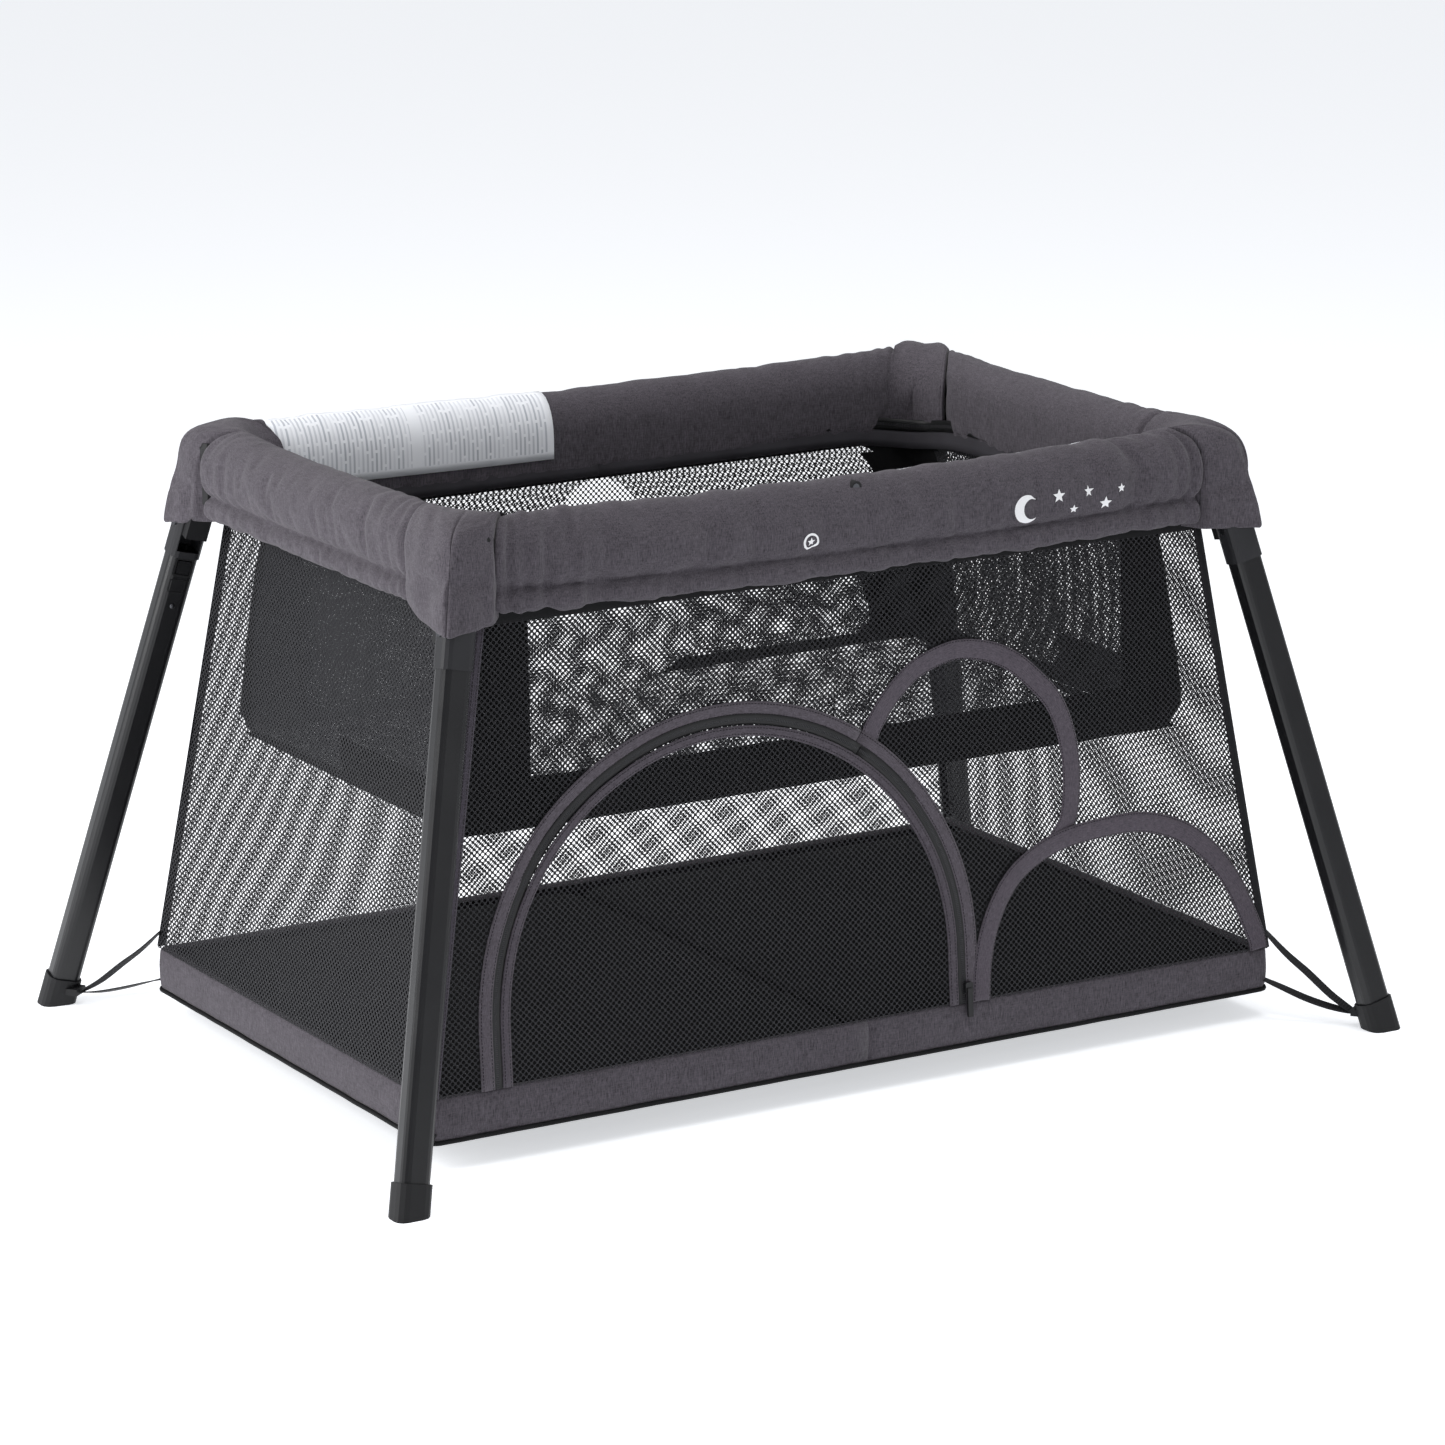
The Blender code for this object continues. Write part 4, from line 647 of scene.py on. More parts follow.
def u_path(half_x, half_y, radius, way, spacing=0.02, turn_steps=8, gap=0.0):
    """Plan line round one half of the pen, from the middle of the front, round the end, to the middle of the rear."""
    straight = max(2, int((half_x - radius) / spacing))
    line = [(gap + (half_x - radius - gap) * n / straight, -half_y, 0, -1) for n in range(straight)]
    for n in range(turn_steps + 1):
        angle = math.radians(90 * n / turn_steps)
        line.append((half_x - radius + radius * math.sin(angle), -half_y + radius - radius * math.cos(angle),
                     math.sin(angle), -math.cos(angle)))
    depth = max(2, int((half_y - radius) / spacing))
    line += [(half_x, -(half_y - radius) * (1 - n / depth), 1, 0) for n in range(1, depth + 1)]
    line += [(x, -y, out_x, -out_y) for x, y, out_x, out_y in reversed(line[:-1])]
    return [(way * x, y, way * out_x, out_y) for x, y, out_x, out_y in line]


def along_u(name, path, section, *materials, ring=False, wobble=0.0, thickness=0.0):
    """Sweeps a section (out, z) along a plan line. Wobble is how far the cloth wanders in and out."""
    rows = []
    for x, y, out_x, out_y in path:
        row = []
        for out, z in section:
            out += wobble * noise.noise(Vector((x * 30, y * 30, z * 40)))
            row.append((x + out_x * out, y + out_y * out, z))
        rows.append(row)
    piece = make_piece(name, loft(name, rows, ring=ring, capped=ring), *materials)
    if thickness:
        shell = piece.modifiers.new("cloth_thickness", "SOLIDIFY")
        shell.thickness = thickness
        shell.offset = 0.0
        bake_modifiers(piece)
    return piece


# Black nylon cloth: plain weave of 0.4 mm yarns, drawn at 0.8 mm, matt, with a faint crease haze.
def black_cloth(name, hex_colour, roughness=0.85):
    """Plain black nylon."""
    material, shader = start_material(name, hex_colour, roughness, specular=0.2)
    place = add_node(material, "TexCoord").outputs["Object"]
    haze = add_node(material, "TexNoise", inputs={"Vector": place, "Scale": 22.0, "Detail": 4.0})
    tone = add_node(material, "MixRGB", {"blend_type": "MULTIPLY"}, {0: 0.55, 1: linear(hex_colour), 2: haze.outputs["Fac"]})
    weave = add_node(material, "TexChecker", inputs={"Vector": place, "Scale": 1250.0})
    relief = add_node(material, "Bump", inputs={"Height": weave.outputs["Fac"], "Strength": 0.12, "Distance": 0.0002})
    rough = add_node(material, "MapRange", inputs={"Value": haze.outputs["Fac"], "To Min": roughness - 0.1, "To Max": roughness + 0.08})
    material.node_tree.links.new(tone.outputs["Color"], shader.inputs["Base Color"])
    material.node_tree.links.new(relief.outputs["Normal"], shader.inputs["Normal"])
    material.node_tree.links.new(rough.outputs["Result"], shader.inputs["Roughness"])
    return material


lining = black_cloth("black_nylon_lining", "1a1a1d")
piping_cloth = black_cloth("black_nylon_piping", "141416", 0.7)
BAND_SECTION = [(-0.0120, 0.0722), (-0.0055, 0.0745), (-0.0012, 0.0742), (0.0004, 0.0722), (0.0012, 0.066),
                (0.0017, 0.058), (0.0017, 0.050), (0.0012, 0.042), (0.0003, 0.0350), (-0.0010, 0.0318)]

for end, way in (("left", -1), ("right", 1)):
    path = u_path(BASE_HALF_X, BASE_HALF_Y, 0.012, way)
    band = along_u("base_band_" + end, path, BAND_SECTION, rail_heather, wobble=0.0012, thickness=0.0012)
    on_half(band, end)
    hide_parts("base_tray_" + end)
    edge = [(0.0006 + 0.0024 * math.cos(math.radians(45 * n)), 0.0302 + 0.0024 * math.sin(math.radians(45 * n)))
            for n in range(8)]
    piping = along_u("base_piping_" + end, path, edge, piping_cloth, ring=True, wobble=0.0008)
    on_half(piping, end)
    rows = []
    for n in range(21):
        x = (BASE_HALF_X - 0.0022) * n / 20
        row = []
        for m in range(25):
            y = (BASE_HALF_Y - 0.003) * (m / 12 - 1)
            near_edge = min(1.0, (BASE_HALF_X - x) / 0.09, (BASE_HALF_Y - abs(y)) / 0.07)
            sag = 0.0085 * ease(near_edge) + 0.0015 * noise.noise(Vector((x * 14, y * 14, way)))
            row.append((way * x, y, 0.0288 - sag))
        rows.append(row)
    bottom = make_piece("base_bottom_" + end, loft("bottom", rows), lining)
    soften(bottom)
    bake_modifiers(bottom)
    on_half(bottom, end)

# ------------------------------------------------------------ mattress
# A thin folding mattress in black knit: four padded panels with sewn folds between them, held in the
# tray. The covers are filled and blown up between the seams.
mattress_cloth = black_cloth("black_knit_mattress", "161618", 0.9)
MATTRESS_HALF_X = 0.495
MATTRESS_HALF_Y = 0.301

for end, way in (("left", -1), ("right", 1)):
    rows = []
    for n in range(49):
        x = 0.0015 + (MATTRESS_HALF_X - 0.0015) * n / 48
        edge = min(x - 0.0015, MATTRESS_HALF_X - x)
        fold = abs(x - 0.2475)
        pinch = 0.006 * math.exp(-(fold / 0.006) ** 2) + 0.007 * math.exp(-(edge / 0.008) ** 2)
        top, low = 0.0705 - pinch, 0.0315 + pinch
        narrow = MATTRESS_HALF_Y - 0.003 * math.exp(-(edge / 0.006) ** 2)
        row = []
        for m in range(15):
            y = narrow * (m / 7 - 1) * 0.985
            lift = 0.0025 * ease((narrow - abs(y)) / 0.05) - 0.004 * math.exp(-((narrow - abs(y)) / 0.012) ** 2)
            row.append((way * x, y, top + lift))
        row += [(way * x, narrow, (top + low) / 2 + 0.007), (way * x, narrow, (top + low) / 2 - 0.007)]
        row += [(way * x, -narrow * (m / 7 - 1) * 0.985, low) for m in range(15)]
        row += [(way * x, -narrow, (top + low) / 2 - 0.007), (way * x, -narrow, (top + low) / 2 + 0.007)]
        rows.append(row)
    pad = make_piece("mattress_cover_" + end, loft("mattress", rows, ring=True, capped=True), mattress_cloth)

    def pad_held(point):
        return abs(abs(point.x) - 0.2475) < 0.004 or abs(point.y) > 0.295 or point.z < 0.05 or abs(point.x) > 0.485

    puff(pad, pad_held, 0.0025, slack=0.01, pressure=2.0)
    soften(pad)
    bake_modifiers(pad)
    on_half(pad, end)
    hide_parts("mattress_" + end)

# ------------------------------------------------------------ mesh walls
# Polyester warp-knit mesh is stretched from the rail to the base on all four sides, one layer thick.
# Cut edges are bound: a black tape under the rail, black bindings at the corners.
WALL_FOOT = 0.0745
WALL_HEAD = 0.548
FRONT_LEAN = 0.034 / 0.4735
END_LEAN = 0.078 / 0.4735


def wall_x(z):
    """How far out an end wall stands at a height."""
    return 0.501 - (z - WALL_FOOT) * END_LEAN


def wall_y(z):
    """How far out a long wall stands at a height."""
    return 0.307 - (z - WALL_FOOT) * FRONT_LEAN


def on_front(x, z, lift=0.0):
    """A point on the front wall, lift metres proud of it."""
    return (x, -wall_y(z) - lift, z)


# Mesh: round holes on a diagonal lattice between knitted threads, near black, with a slight shine.
def net(name, hex_colour, pitch_mm, hole_mm, angle=45.0, threads="232328"):
    """Knitted mesh. The holes are cut by alpha on the piece's own map, in metres."""
    material, shader = start_material(name, hex_colour, 0.62, specular=0.3)
    map_node = add_node(material, "UVMap", {"uv_map": "cloth"})
    lattice = add_node(material, "Mapping", inputs={"Vector": map_node.outputs["UV"],
                                                    "Rotation": (0.0, 0.0, math.radians(angle)),
                                                    "Scale": (1000 / pitch_mm, 1000 / pitch_mm, 0.0)})
    cell = add_node(material, "VectorMath", {"operation": "FRACTION"}, {0: lattice.outputs["Vector"]})
    centred = add_node(material, "VectorMath", {"operation": "SUBTRACT"}, {0: cell.outputs["Vector"], 1: (0.5, 0.5, 0.0)})
    from_hole = add_node(material, "VectorMath", {"operation": "LENGTH"}, {0: centred.outputs["Vector"]})
    radius = hole_mm / 2 / pitch_mm
    solid = add_node(material, "MapRange", {"interpolation_type": "SMOOTHSTEP"},
                     {"Value": from_hole.outputs["Value"], "From Min": radius - 0.045, "From Max": radius + 0.045})
    twist = add_node(material, "TexNoise", inputs={"Vector": map_node.outputs["UV"], "Scale": 1500.0, "Detail": 1.0})
    tone = add_node(material, "ValToRGB", inputs={"Fac": twist.outputs["Fac"]})
    tone.color_ramp.elements[0].color = linear(hex_colour)
    tone.color_ramp.elements[1].color = linear(threads)
    relief = add_node(material, "Bump", inputs={"Height": from_hole.outputs["Value"], "Strength": 0.5, "Distance": 0.0006})
    material.node_tree.links.new(solid.outputs["Result"], shader.inputs["Alpha"])
    material.node_tree.links.new(tone.outputs["Color"], shader.inputs["Base Color"])
    material.node_tree.links.new(relief.outputs["Normal"], shader.inputs["Normal"])
    return material


wall_net = net("warp_knit_mesh", "101012", 4.6, 3.75)
end_net = net("warp_knit_mesh_ends", "101012", 4.6, 3.05)


def net_wall(name, rows, end, flat_uv, body=None, cloth=wall_net):
    """A stretched piece of mesh wall."""
    wall = make_piece(name, loft(name, rows, flat=flat_uv), cloth)
    if body:
        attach(wall, body)
        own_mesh(wall)
    else:
        on_half(wall, end)
    return wall


def slack(x, z, seed):
    """Small waves in a stretched wall, up to about 2 mm, dying out at its edges."""
    inside = ease(min(z - WALL_FOOT, WALL_HEAD - z) / 0.06) * ease((0.462 - abs(x)) / 0.05)
    return inside * (0.0022 * noise.noise(Vector((x * 9, z * 5, seed))) + 0.001 * noise.noise(Vector((x * 26, z * 16, seed))))


def front_uv(point):
    return point.x, point.z * 1.0026


def end_uv(point):
    return point.y, point.z * 1.0135


ARCH_X = -0.155
ARCH_Z = 0.1325
ARCH_RADIUS = 0.270
HALF_GAP = 0.0


def arch(angle, radius, centre=(ARCH_X, ARCH_Z)):
    """A point round the door arch: 0 is the right springing, 90 the crown."""
    return centre[0] + radius * math.cos(math.radians(angle)), centre[1] + radius * math.sin(math.radians(angle))


def walk(corners, count):
    """Points evenly spaced along straight runs between corners."""
    corners = [Vector(corner) for corner in corners]
    lengths = [0.0]
    for near, far in zip(corners, corners[1:]):
        lengths.append(lengths[-1] + (far - near).length)
    points = []
    for n in range(count):
        at = lengths[-1] * n / (count - 1)
        leg = max(index for index in range(len(corners) - 1) if lengths[index] <= at + 1e-9)
        share = (at - lengths[leg]) / (lengths[leg + 1] - lengths[leg])
        points.append(corners[leg].lerp(corners[leg + 1], min(1.0, share)))
    return points


split_angle = math.degrees(math.acos((-HALF_GAP - ARCH_X) / ARCH_RADIUS))
for end, way in (("left", -1), ("right", 1)):
    edge_x = way * HALF_GAP
    if way < 0:
        inner = ([(ARCH_X - ARCH_RADIUS, WALL_FOOT), (ARCH_X - ARCH_RADIUS, ARCH_Z)]
                 + [arch(180 - (180 - split_angle) * n / 40, ARCH_RADIUS) for n in range(1, 41)])
        outer = [(-wall_x(WALL_FOOT), WALL_FOOT), (-wall_x(WALL_HEAD), WALL_HEAD), (edge_x, WALL_HEAD)]
    else:
        inner = ([arch(split_angle * (1 - n / 30), ARCH_RADIUS) for n in range(31)]
                 + [(ARCH_X + ARCH_RADIUS, WALL_FOOT)])
        outer = [(edge_x, WALL_HEAD), (wall_x(WALL_HEAD), WALL_HEAD), (wall_x(WALL_FOOT), WALL_FOOT)]
    inner = walk(inner, 60)
    outer = walk(outer, 60)
    rows = []
    for n in range(13):
        row = []
        for near, far in zip(inner, outer):
            x, z = near.lerp(far, n / 12)
            row.append(on_front(x, z, slack(x, z, 5.0)))
        rows.append(row)
    wall = net_wall("mesh_front_" + end, rows, end, front_uv)
    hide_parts("wall_front_" + end)

    rows = []
    for n in range(25):
        z = WALL_FOOT + (WALL_HEAD - WALL_FOOT) * n / 24
        row = []
        for m in range(25):
            x = edge_x + way * (wall_x(z) - HALF_GAP) * m / 24
            row.append((x, wall_y(z) + slack(x, z, 11.0), z))
        rows.append(row)
    wall = net_wall("mesh_rear_" + end, rows, end, front_uv)
    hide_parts("wall_rear_" + end)

    rows = []
    for n in range(25):
        z = WALL_FOOT + (WALL_HEAD - WALL_FOOT) * n / 24
        row = []
        for m in range(31):
            y = wall_y(z) * (m / 15 - 1)
            row.append((way * (wall_x(z) + slack(y, z, 17.0 + way)), y, z))
        rows.append(row)
    wall = net_wall("mesh_end_" + end, rows, end, end_uv, cloth=end_net)
    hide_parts("wall_end_" + end)


# Tapes: narrow bound strips laid on the cloth along a line.
def tape(name, line, width, material, normal_at, thickness=0.0011, lift=0.0007, body=None, end=None):
    """A flat tape with its middle on line, standing lift off the cloth. normal_at gives the cloth's outward side."""
    line = [Vector(point) for point in line]
    rows = []
    for at, point in enumerate(line):
        run = (line[min(at + 1, len(line) - 1)] - line[max(at - 1, 0)]).normalized()
        out = Vector(normal_at(point)).normalized()
        across = run.cross(out).normalized()
        rows.append([point + out * lift + across * width * share for share in (-0.5, -0.46, -0.2, 0.2, 0.46, 0.5)])
        rows[-1][0] -= out * lift * 0.7
        rows[-1][-1] -= out * lift * 0.7
    strip = make_piece(name, loft(name, rows), material)
    shell = strip.modifiers.new("tape_thickness", "SOLIDIFY")
    shell.thickness = thickness
    shell.offset = 0.0
    bake_modifiers(strip)
    if body:
        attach(strip, body)
        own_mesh(strip)
    if end:
        on_half(strip, end)
    return strip


def front_out(point):
    return 0.0, -1.0, -FRONT_LEAN


def rear_out(point):
    return 0.0, 1.0, -FRONT_LEAN


binding = heather("black_polyester_binding", "121214", "262629", width=0.010)
grey_binding = heather("grey_polyester_binding", "2d2a2e", "55505a", width=0.009)
head_tape = black_cloth("black_double_mesh_strip", "1a1a1c", 0.9)

for end, way in (("left", -1), ("right", 1)):
    for side, face in (("front", -1), ("rear", 1)):
        out = front_out if face < 0 else rear_out
        foot, head = WALL_FOOT + 0.001, WALL_HEAD - 0.002
        points = []
        for n in range(17):
            z = foot + (head - foot) * n / 16
            points.append((way * (wall_x(z) - 0.0048), face * wall_y(z), z))
        cloth = grey_binding if (side, end) == ("front", "left") else binding
        tape("corner_binding_%s_%s" % (side, end), points, 0.009, cloth, out, end=end)
        strip = [(way * (HALF_GAP + (wall_x(0.5385) - 0.004 - HALF_GAP) * n / 24), face * wall_y(0.5385), 0.5385)
                 for n in range(25)]
        tape("head_tape_%s_%s" % (side, end), strip, 0.017, head_tape, out, end=end)
    strip = [(way * wall_x(0.5385), (wall_y(0.5385) - 0.004) * (n / 12 - 1), 0.5385) for n in range(25)]
    tape("head_tape_" + end, strip, 0.017, head_tape, lambda point, way=way: (way, 0.0, -END_LEAN), end=end)

# ------------------------------------------------------------ door
# The door is an arch of the same mesh, bound in heather tape, hung on its left straight edge and closed
# by a black coil zip that follows the arch. The slider is a CAD piece.
rows = []
for n in range(41):
    z = WALL_FOOT + 0.0005 + (ARCH_Z + ARCH_RADIUS - 0.0012 - WALL_FOOT - 0.0005) * (1 - (1 - n / 40) ** 1.6 if n > 20 else n / 40 * 1.34)
    rows.append(z)
rows = sorted(set(rows))
door_rows = []
for z in rows:
    reach = ARCH_RADIUS - 0.0008
    half = reach if z <= ARCH_Z else math.sqrt(max(1e-8, reach ** 2 - (z - ARCH_Z) ** 2))
    door_rows.append([on_front(ARCH_X + half * (m / 15 - 1), z, slack(ARCH_X + half * (m / 15 - 1), z, 5.0))
                      for m in range(31)])
door_mesh = net_wall("door_mesh", door_rows, "left", front_uv, body="door")
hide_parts("door_panel")

door_tape = heather("heather_door_tape", "353135", "68626a", width=0.0140)
door_edge = heather("heather_door_edge", "322e33", "615b63", width=0.0100)


def arch_line(radius, lift=0.0, legs=(True, True), first=180.0, last=0.0, foot=WALL_FOOT + 0.0005):
    """The line of the arch at a radius, with its straight legs down to the base."""
    steps = max(8, int(abs(first - last) / 3))
    line = [arch(first + (last - first) * n / steps, radius) for n in range(steps + 1)]
    if legs[0]:
        line = [(line[0][0], foot + (ARCH_Z - foot) * n / 4) for n in range(4)] + line
    if legs[1]:
        line = line + [(line[-1][0], ARCH_Z + (foot - ARCH_Z) * (n + 1) / 4) for n in range(4)]
    return [on_front(x, z, lift + slack(x, z, 5.0)) for x, z in line]


def angle_at_middle(radius, x):
    """Where a radius of the arch crosses a distance from the pen's middle."""
    return math.degrees(math.acos((x - ARCH_X) / radius))


# The legs of the outer tape start at the base band. It crosses the middle fold, so it is cut there.
outer_radius = ARCH_RADIUS + 0.0115
crossing = angle_at_middle(outer_radius, 0.0)
tape("door_frame_tape_left", arch_line(outer_radius, legs=(True, False), last=crossing + 0.1), 0.014, door_tape, front_out,
     thickness=0.0016, lift=0.0012, end="left")
tape("door_frame_tape_right", arch_line(outer_radius, legs=(False, True), first=crossing - 0.1), 0.014, door_tape, front_out,
     thickness=0.0016, lift=0.0012, end="right")
tape("door_edge_tape", arch_line(ARCH_RADIUS - 0.0105), 0.010, door_edge, front_out, thickness=0.0014, lift=0.0011, body="door")

# Zip: black polyester tape with a nylon coil of 1.3 mm pitch, drawn at 2 mm, and a soft shine on it.
zip_cloth, zip_shader = start_material("black_coil_zip", "0c0c0e", 0.5, specular=0.4)
zip_map = add_node(zip_cloth, "UVMap", {"uv_map": "cloth"})
zip_place = add_node(zip_cloth, "SeparateXYZ", inputs={"Vector": zip_map.outputs["UV"]})
zip_beat = add_node(zip_cloth, "Math", {"operation": "PINGPONG"}, {0: zip_place.outputs["Y"], 1: 0.001})
zip_off = add_node(zip_cloth, "Math", {"operation": "ABSOLUTE"}, {0: zip_place.outputs["X"]})
zip_coil = add_node(zip_cloth, "Math", {"operation": "LESS_THAN"}, {0: zip_off.outputs["Value"], 1: 0.0016})
zip_height = add_node(zip_cloth, "Math", {"operation": "MULTIPLY"}, {0: zip_beat.outputs["Value"], 1: zip_coil.outputs["Value"]})
zip_relief = add_node(zip_cloth, "Bump", inputs={"Height": zip_height.outputs["Value"], "Strength": 1.0, "Distance": 0.8})
zip_tone = add_node(zip_cloth, "MixRGB", inputs={0: zip_coil.outputs["Value"], 1: linear("0b0b0d"), 2: linear("232326")})
zip_cloth.node_tree.links.new(zip_tone.outputs["Color"], zip_shader.inputs["Base Color"])
zip_cloth.node_tree.links.new(zip_relief.outputs["Normal"], zip_shader.inputs["Normal"])

zip_radius = ARCH_RADIUS + 0.0008
crossing = angle_at_middle(zip_radius, 0.0)
tape("zip_left", arch_line(zip_radius, legs=(True, False), last=crossing + 0.1), 0.0105, zip_cloth, front_out,
     lift=0.0006, end="left")
tape("zip_right", arch_line(zip_radius, legs=(False, True), first=crossing - 0.1), 0.0105, zip_cloth, front_out,
     lift=0.0006, end="right")
dress(["zip_slider"], gloss_nylon)

# ------------------------------------------------------------ wall ribbons
# Two ribbons of the heather tape are sewn on the right of the front wall, as a plain pair of overlapping
# curves that stiffen the mesh. The upper one ends under the lower one.
ribbon_cloth = heather("heather_ribbon", "37333a", "665f67", width=0.022)


def smooth_line(points, steps=6):
    """A smooth curve through points."""
    points = [Vector(point) for point in points]
    points = [2 * points[0] - points[1]] + points + [2 * points[-1] - points[-2]]
    line = []
    for p0, p1, p2, p3 in zip(points, points[1:], points[2:], points[3:]):
        for n in range(steps):
            t = n / steps
            line.append(0.5 * (2 * p1 + (p2 - p0) * t + (2 * p0 - 5 * p1 + 4 * p2 - p3) * t * t
                               + (3 * p1 - 3 * p2 + p3 - p0) * t ** 3))
    line.append(points[-2])
    return line


upper_ribbon = [(0.012, 0.362), (0.020, 0.378), (0.042, 0.405), (0.074, 0.429), (0.116, 0.4405), (0.155, 0.4355),
                (0.185, 0.4225), (0.208, 0.4045), (0.236, 0.3735), (0.2515, 0.333), (0.256, 0.290), (0.2505, 0.2505),
                (0.235, 0.228)]
lower_ribbon = [(0.137, 0.0755), (0.1405, 0.110), (0.149, 0.146), (0.163, 0.176), (0.183, 0.2), (0.210, 0.217),
                (0.244, 0.2285), (0.285, 0.2335), (0.335, 0.2335), (0.376, 0.223), (0.410, 0.204), (0.438, 0.177),
                (0.459, 0.146), (0.475, 0.112), (0.4845, 0.0885), (0.4865, 0.0765)]
for name, points, lift in (("upper", upper_ribbon, 0.0008), ("lower", lower_ribbon, 0.0019)):
    line = [on_front(x, z, slack(x, z, 5.0)) for x, z in smooth_line(points)]
    tape("wall_ribbon_" + name, line, 0.021, ribbon_cloth, front_out, thickness=0.0014, lift=lift, end="right")

# ------------------------------------------------------------ bassinet
# The hanging bassinet zips to the inside of the rail. Its sides are open mesh with black borders, its
# ends a closer dark mesh, and its floor a mesh panel in a black border that holds the board's edge.
BASSINET_RIM = 0.571
BASSINET_FLOOR = 0.3125
fine_net = net("fine_knit_mesh", "101012", 3.6, 2.0, threads="1f1f23")
close_net = net("close_knit_mesh", "19191c", 2.6, 0.5, threads="2a2a2f")
side_net = net("bassinet_side_mesh", "121214", 4.6, 3.75, angle=38.0)
border = black_cloth("black_nylon_border", "121214", 0.88)
strip_cloth = black_cloth("dark_grey_nylon_strip", "454348", 0.9)

for end, way in (("left", -1), ("right", 1)):
    rim = u_path(0.4045, 0.2375, 0.040, way, gap=HALF_GAP)

    def hung(name, levels, material, thick, path=rim, wave=0.0003):
        """A strip round the rim, which dips a little at the corners."""
        rows = []
        for x, y, out_x, out_y in path:
            corner = math.exp(-((abs(x) - 0.395) ** 2 + (abs(y) - 0.228) ** 2) / 0.0025)
            rows.append([(x + out_x * (off + wave * noise.noise(Vector((x * 20, y * 20, z * 50)))),
                          y + out_y * (off + wave * noise.noise(Vector((x * 20, y * 20, z * 50)))),
                          z - 0.010 * corner) for off, z in levels])
        piece = make_piece(name, loft(name, rows), material)
        shell = piece.modifiers.new("cloth_thickness", "SOLIDIFY")
        shell.thickness = thick
        shell.offset = 0.0
        bake_modifiers(piece)
        on_half(piece, end)
        return piece

    hung("bassinet_zip_" + end, [(0.0, 0.573), (0.0004, 0.569), (0.0004, 0.565), (0.0, 0.560)], zip_cloth, 0.0015)
    hung("bassinet_strip_" + end, [(0.0006, 0.562), (0.0, 0.556), (-0.001, 0.549), (-0.0004, 0.541)], strip_cloth, 0.001)

    # Side walls. They hang from the strip, belly out under the rail and tuck in at the floor.
    top_path = u_path(0.4045, 0.2375, 0.034, way, gap=HALF_GAP)
    low_path = u_path(0.4360, 0.2450, 0.024, way, gap=HALF_GAP)
    rows = []
    for (x0, y0, nx, ny), (x1, y1, _, _) in zip(top_path, low_path):
        row = []
        for n in range(19):
            share = n / 18
            z = 0.543 + (BASSINET_FLOOR - 0.543) * share
            belly = min(1.0, share / 0.85) ** 0.55 - 0.35 * ease((share - 0.90) / 0.10)
            hem = ease(share / 0.15) * ease((1 - share) / 0.06)
            drape = 0.0035 * noise.noise(Vector((y0 * 13 + z * 5, z * 2.5, 31 + way))) * abs(nx)
            wave = hem * (drape + slack(x0 * 0.9, z, 23.0) * 1.2)
            row.append((x0 + (x1 - x0) * belly + nx * wave, y0 + (y1 - y0) * belly + ny * wave, z))
        rows.append(row)
    walls = make_piece("bassinet_wall_" + end, loft("bassinet_wall", rows), side_net, border, fine_net if way > 0 else close_net)
    for face in walls.data.polygons:
        centre = face.center
        on_end = abs(centre.x) > 0.400 and abs(centre.y) < 0.205
        bottom_border = 0.368 if centre.y < 0 else 0.322
        if centre.z < bottom_border or (0.345 < abs(centre.x) and not on_end):
            face.material_index = 1
        elif on_end:
            face.material_index = 2
    on_half(walls, end)
    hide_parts("bassinet_" + end)

    rows = []
    for n in range(26):
        x = HALF_GAP + (0.4240 - HALF_GAP) * n / 25
        row = []
        for m in range(25):
            y = 0.2405 * (m / 12 - 1)
            sag = 0.003 * ease(min(0.4240 - x, 0.2405 - abs(y)) / 0.08)
            row.append((way * x, y, BASSINET_FLOOR + 0.0002 - sag))
        rows.append(row)
    floor_panel = make_piece("bassinet_floor_" + end, loft("bassinet_floor", rows), side_net, border)
    for face in floor_panel.data.polygons:
        if abs(face.center.x) > 0.405 or abs(face.center.y) > 0.234:
            face.material_index = 1
    on_half(floor_panel, end)

# ------------------------------------------------------------ printed labels and motif
# A woven white care label is sewn over the rear rail, with plain grey bars where a label has print. The
# front rail carries a white printed moon and stars, and a small ring and star.


def over_cloth(name, outline_rows, host, material, lift=0.0009, thickness=0.0, ring=False):
    """Lays rows of points on a sleeve: each point goes to the nearest place on it, and a little out."""
    tree = BVHTree.FromPolygons([vert.co for vert in host.data.vertices],
                                [tuple(face.vertices) for face in host.data.polygons])
    piece = make_piece(name, loft(name, outline_rows, ring=ring), material)
    for vert in piece.data.vertices:
        spot, out, _, _ = tree.find_nearest(vert.co)
        vert.co = spot + out * lift
    middle = piece.data.polygons[len(piece.data.polygons) // 2]
    if middle.normal.dot(tree.find_nearest(middle.center)[1]) < 0:
        piece.data.flip_normals()
    if thickness:
        shell = piece.modifiers.new("label_thickness", "SOLIDIFY")
        shell.thickness = thickness
        shell.offset = 1.0
        bake_modifiers(piece)
    return piece


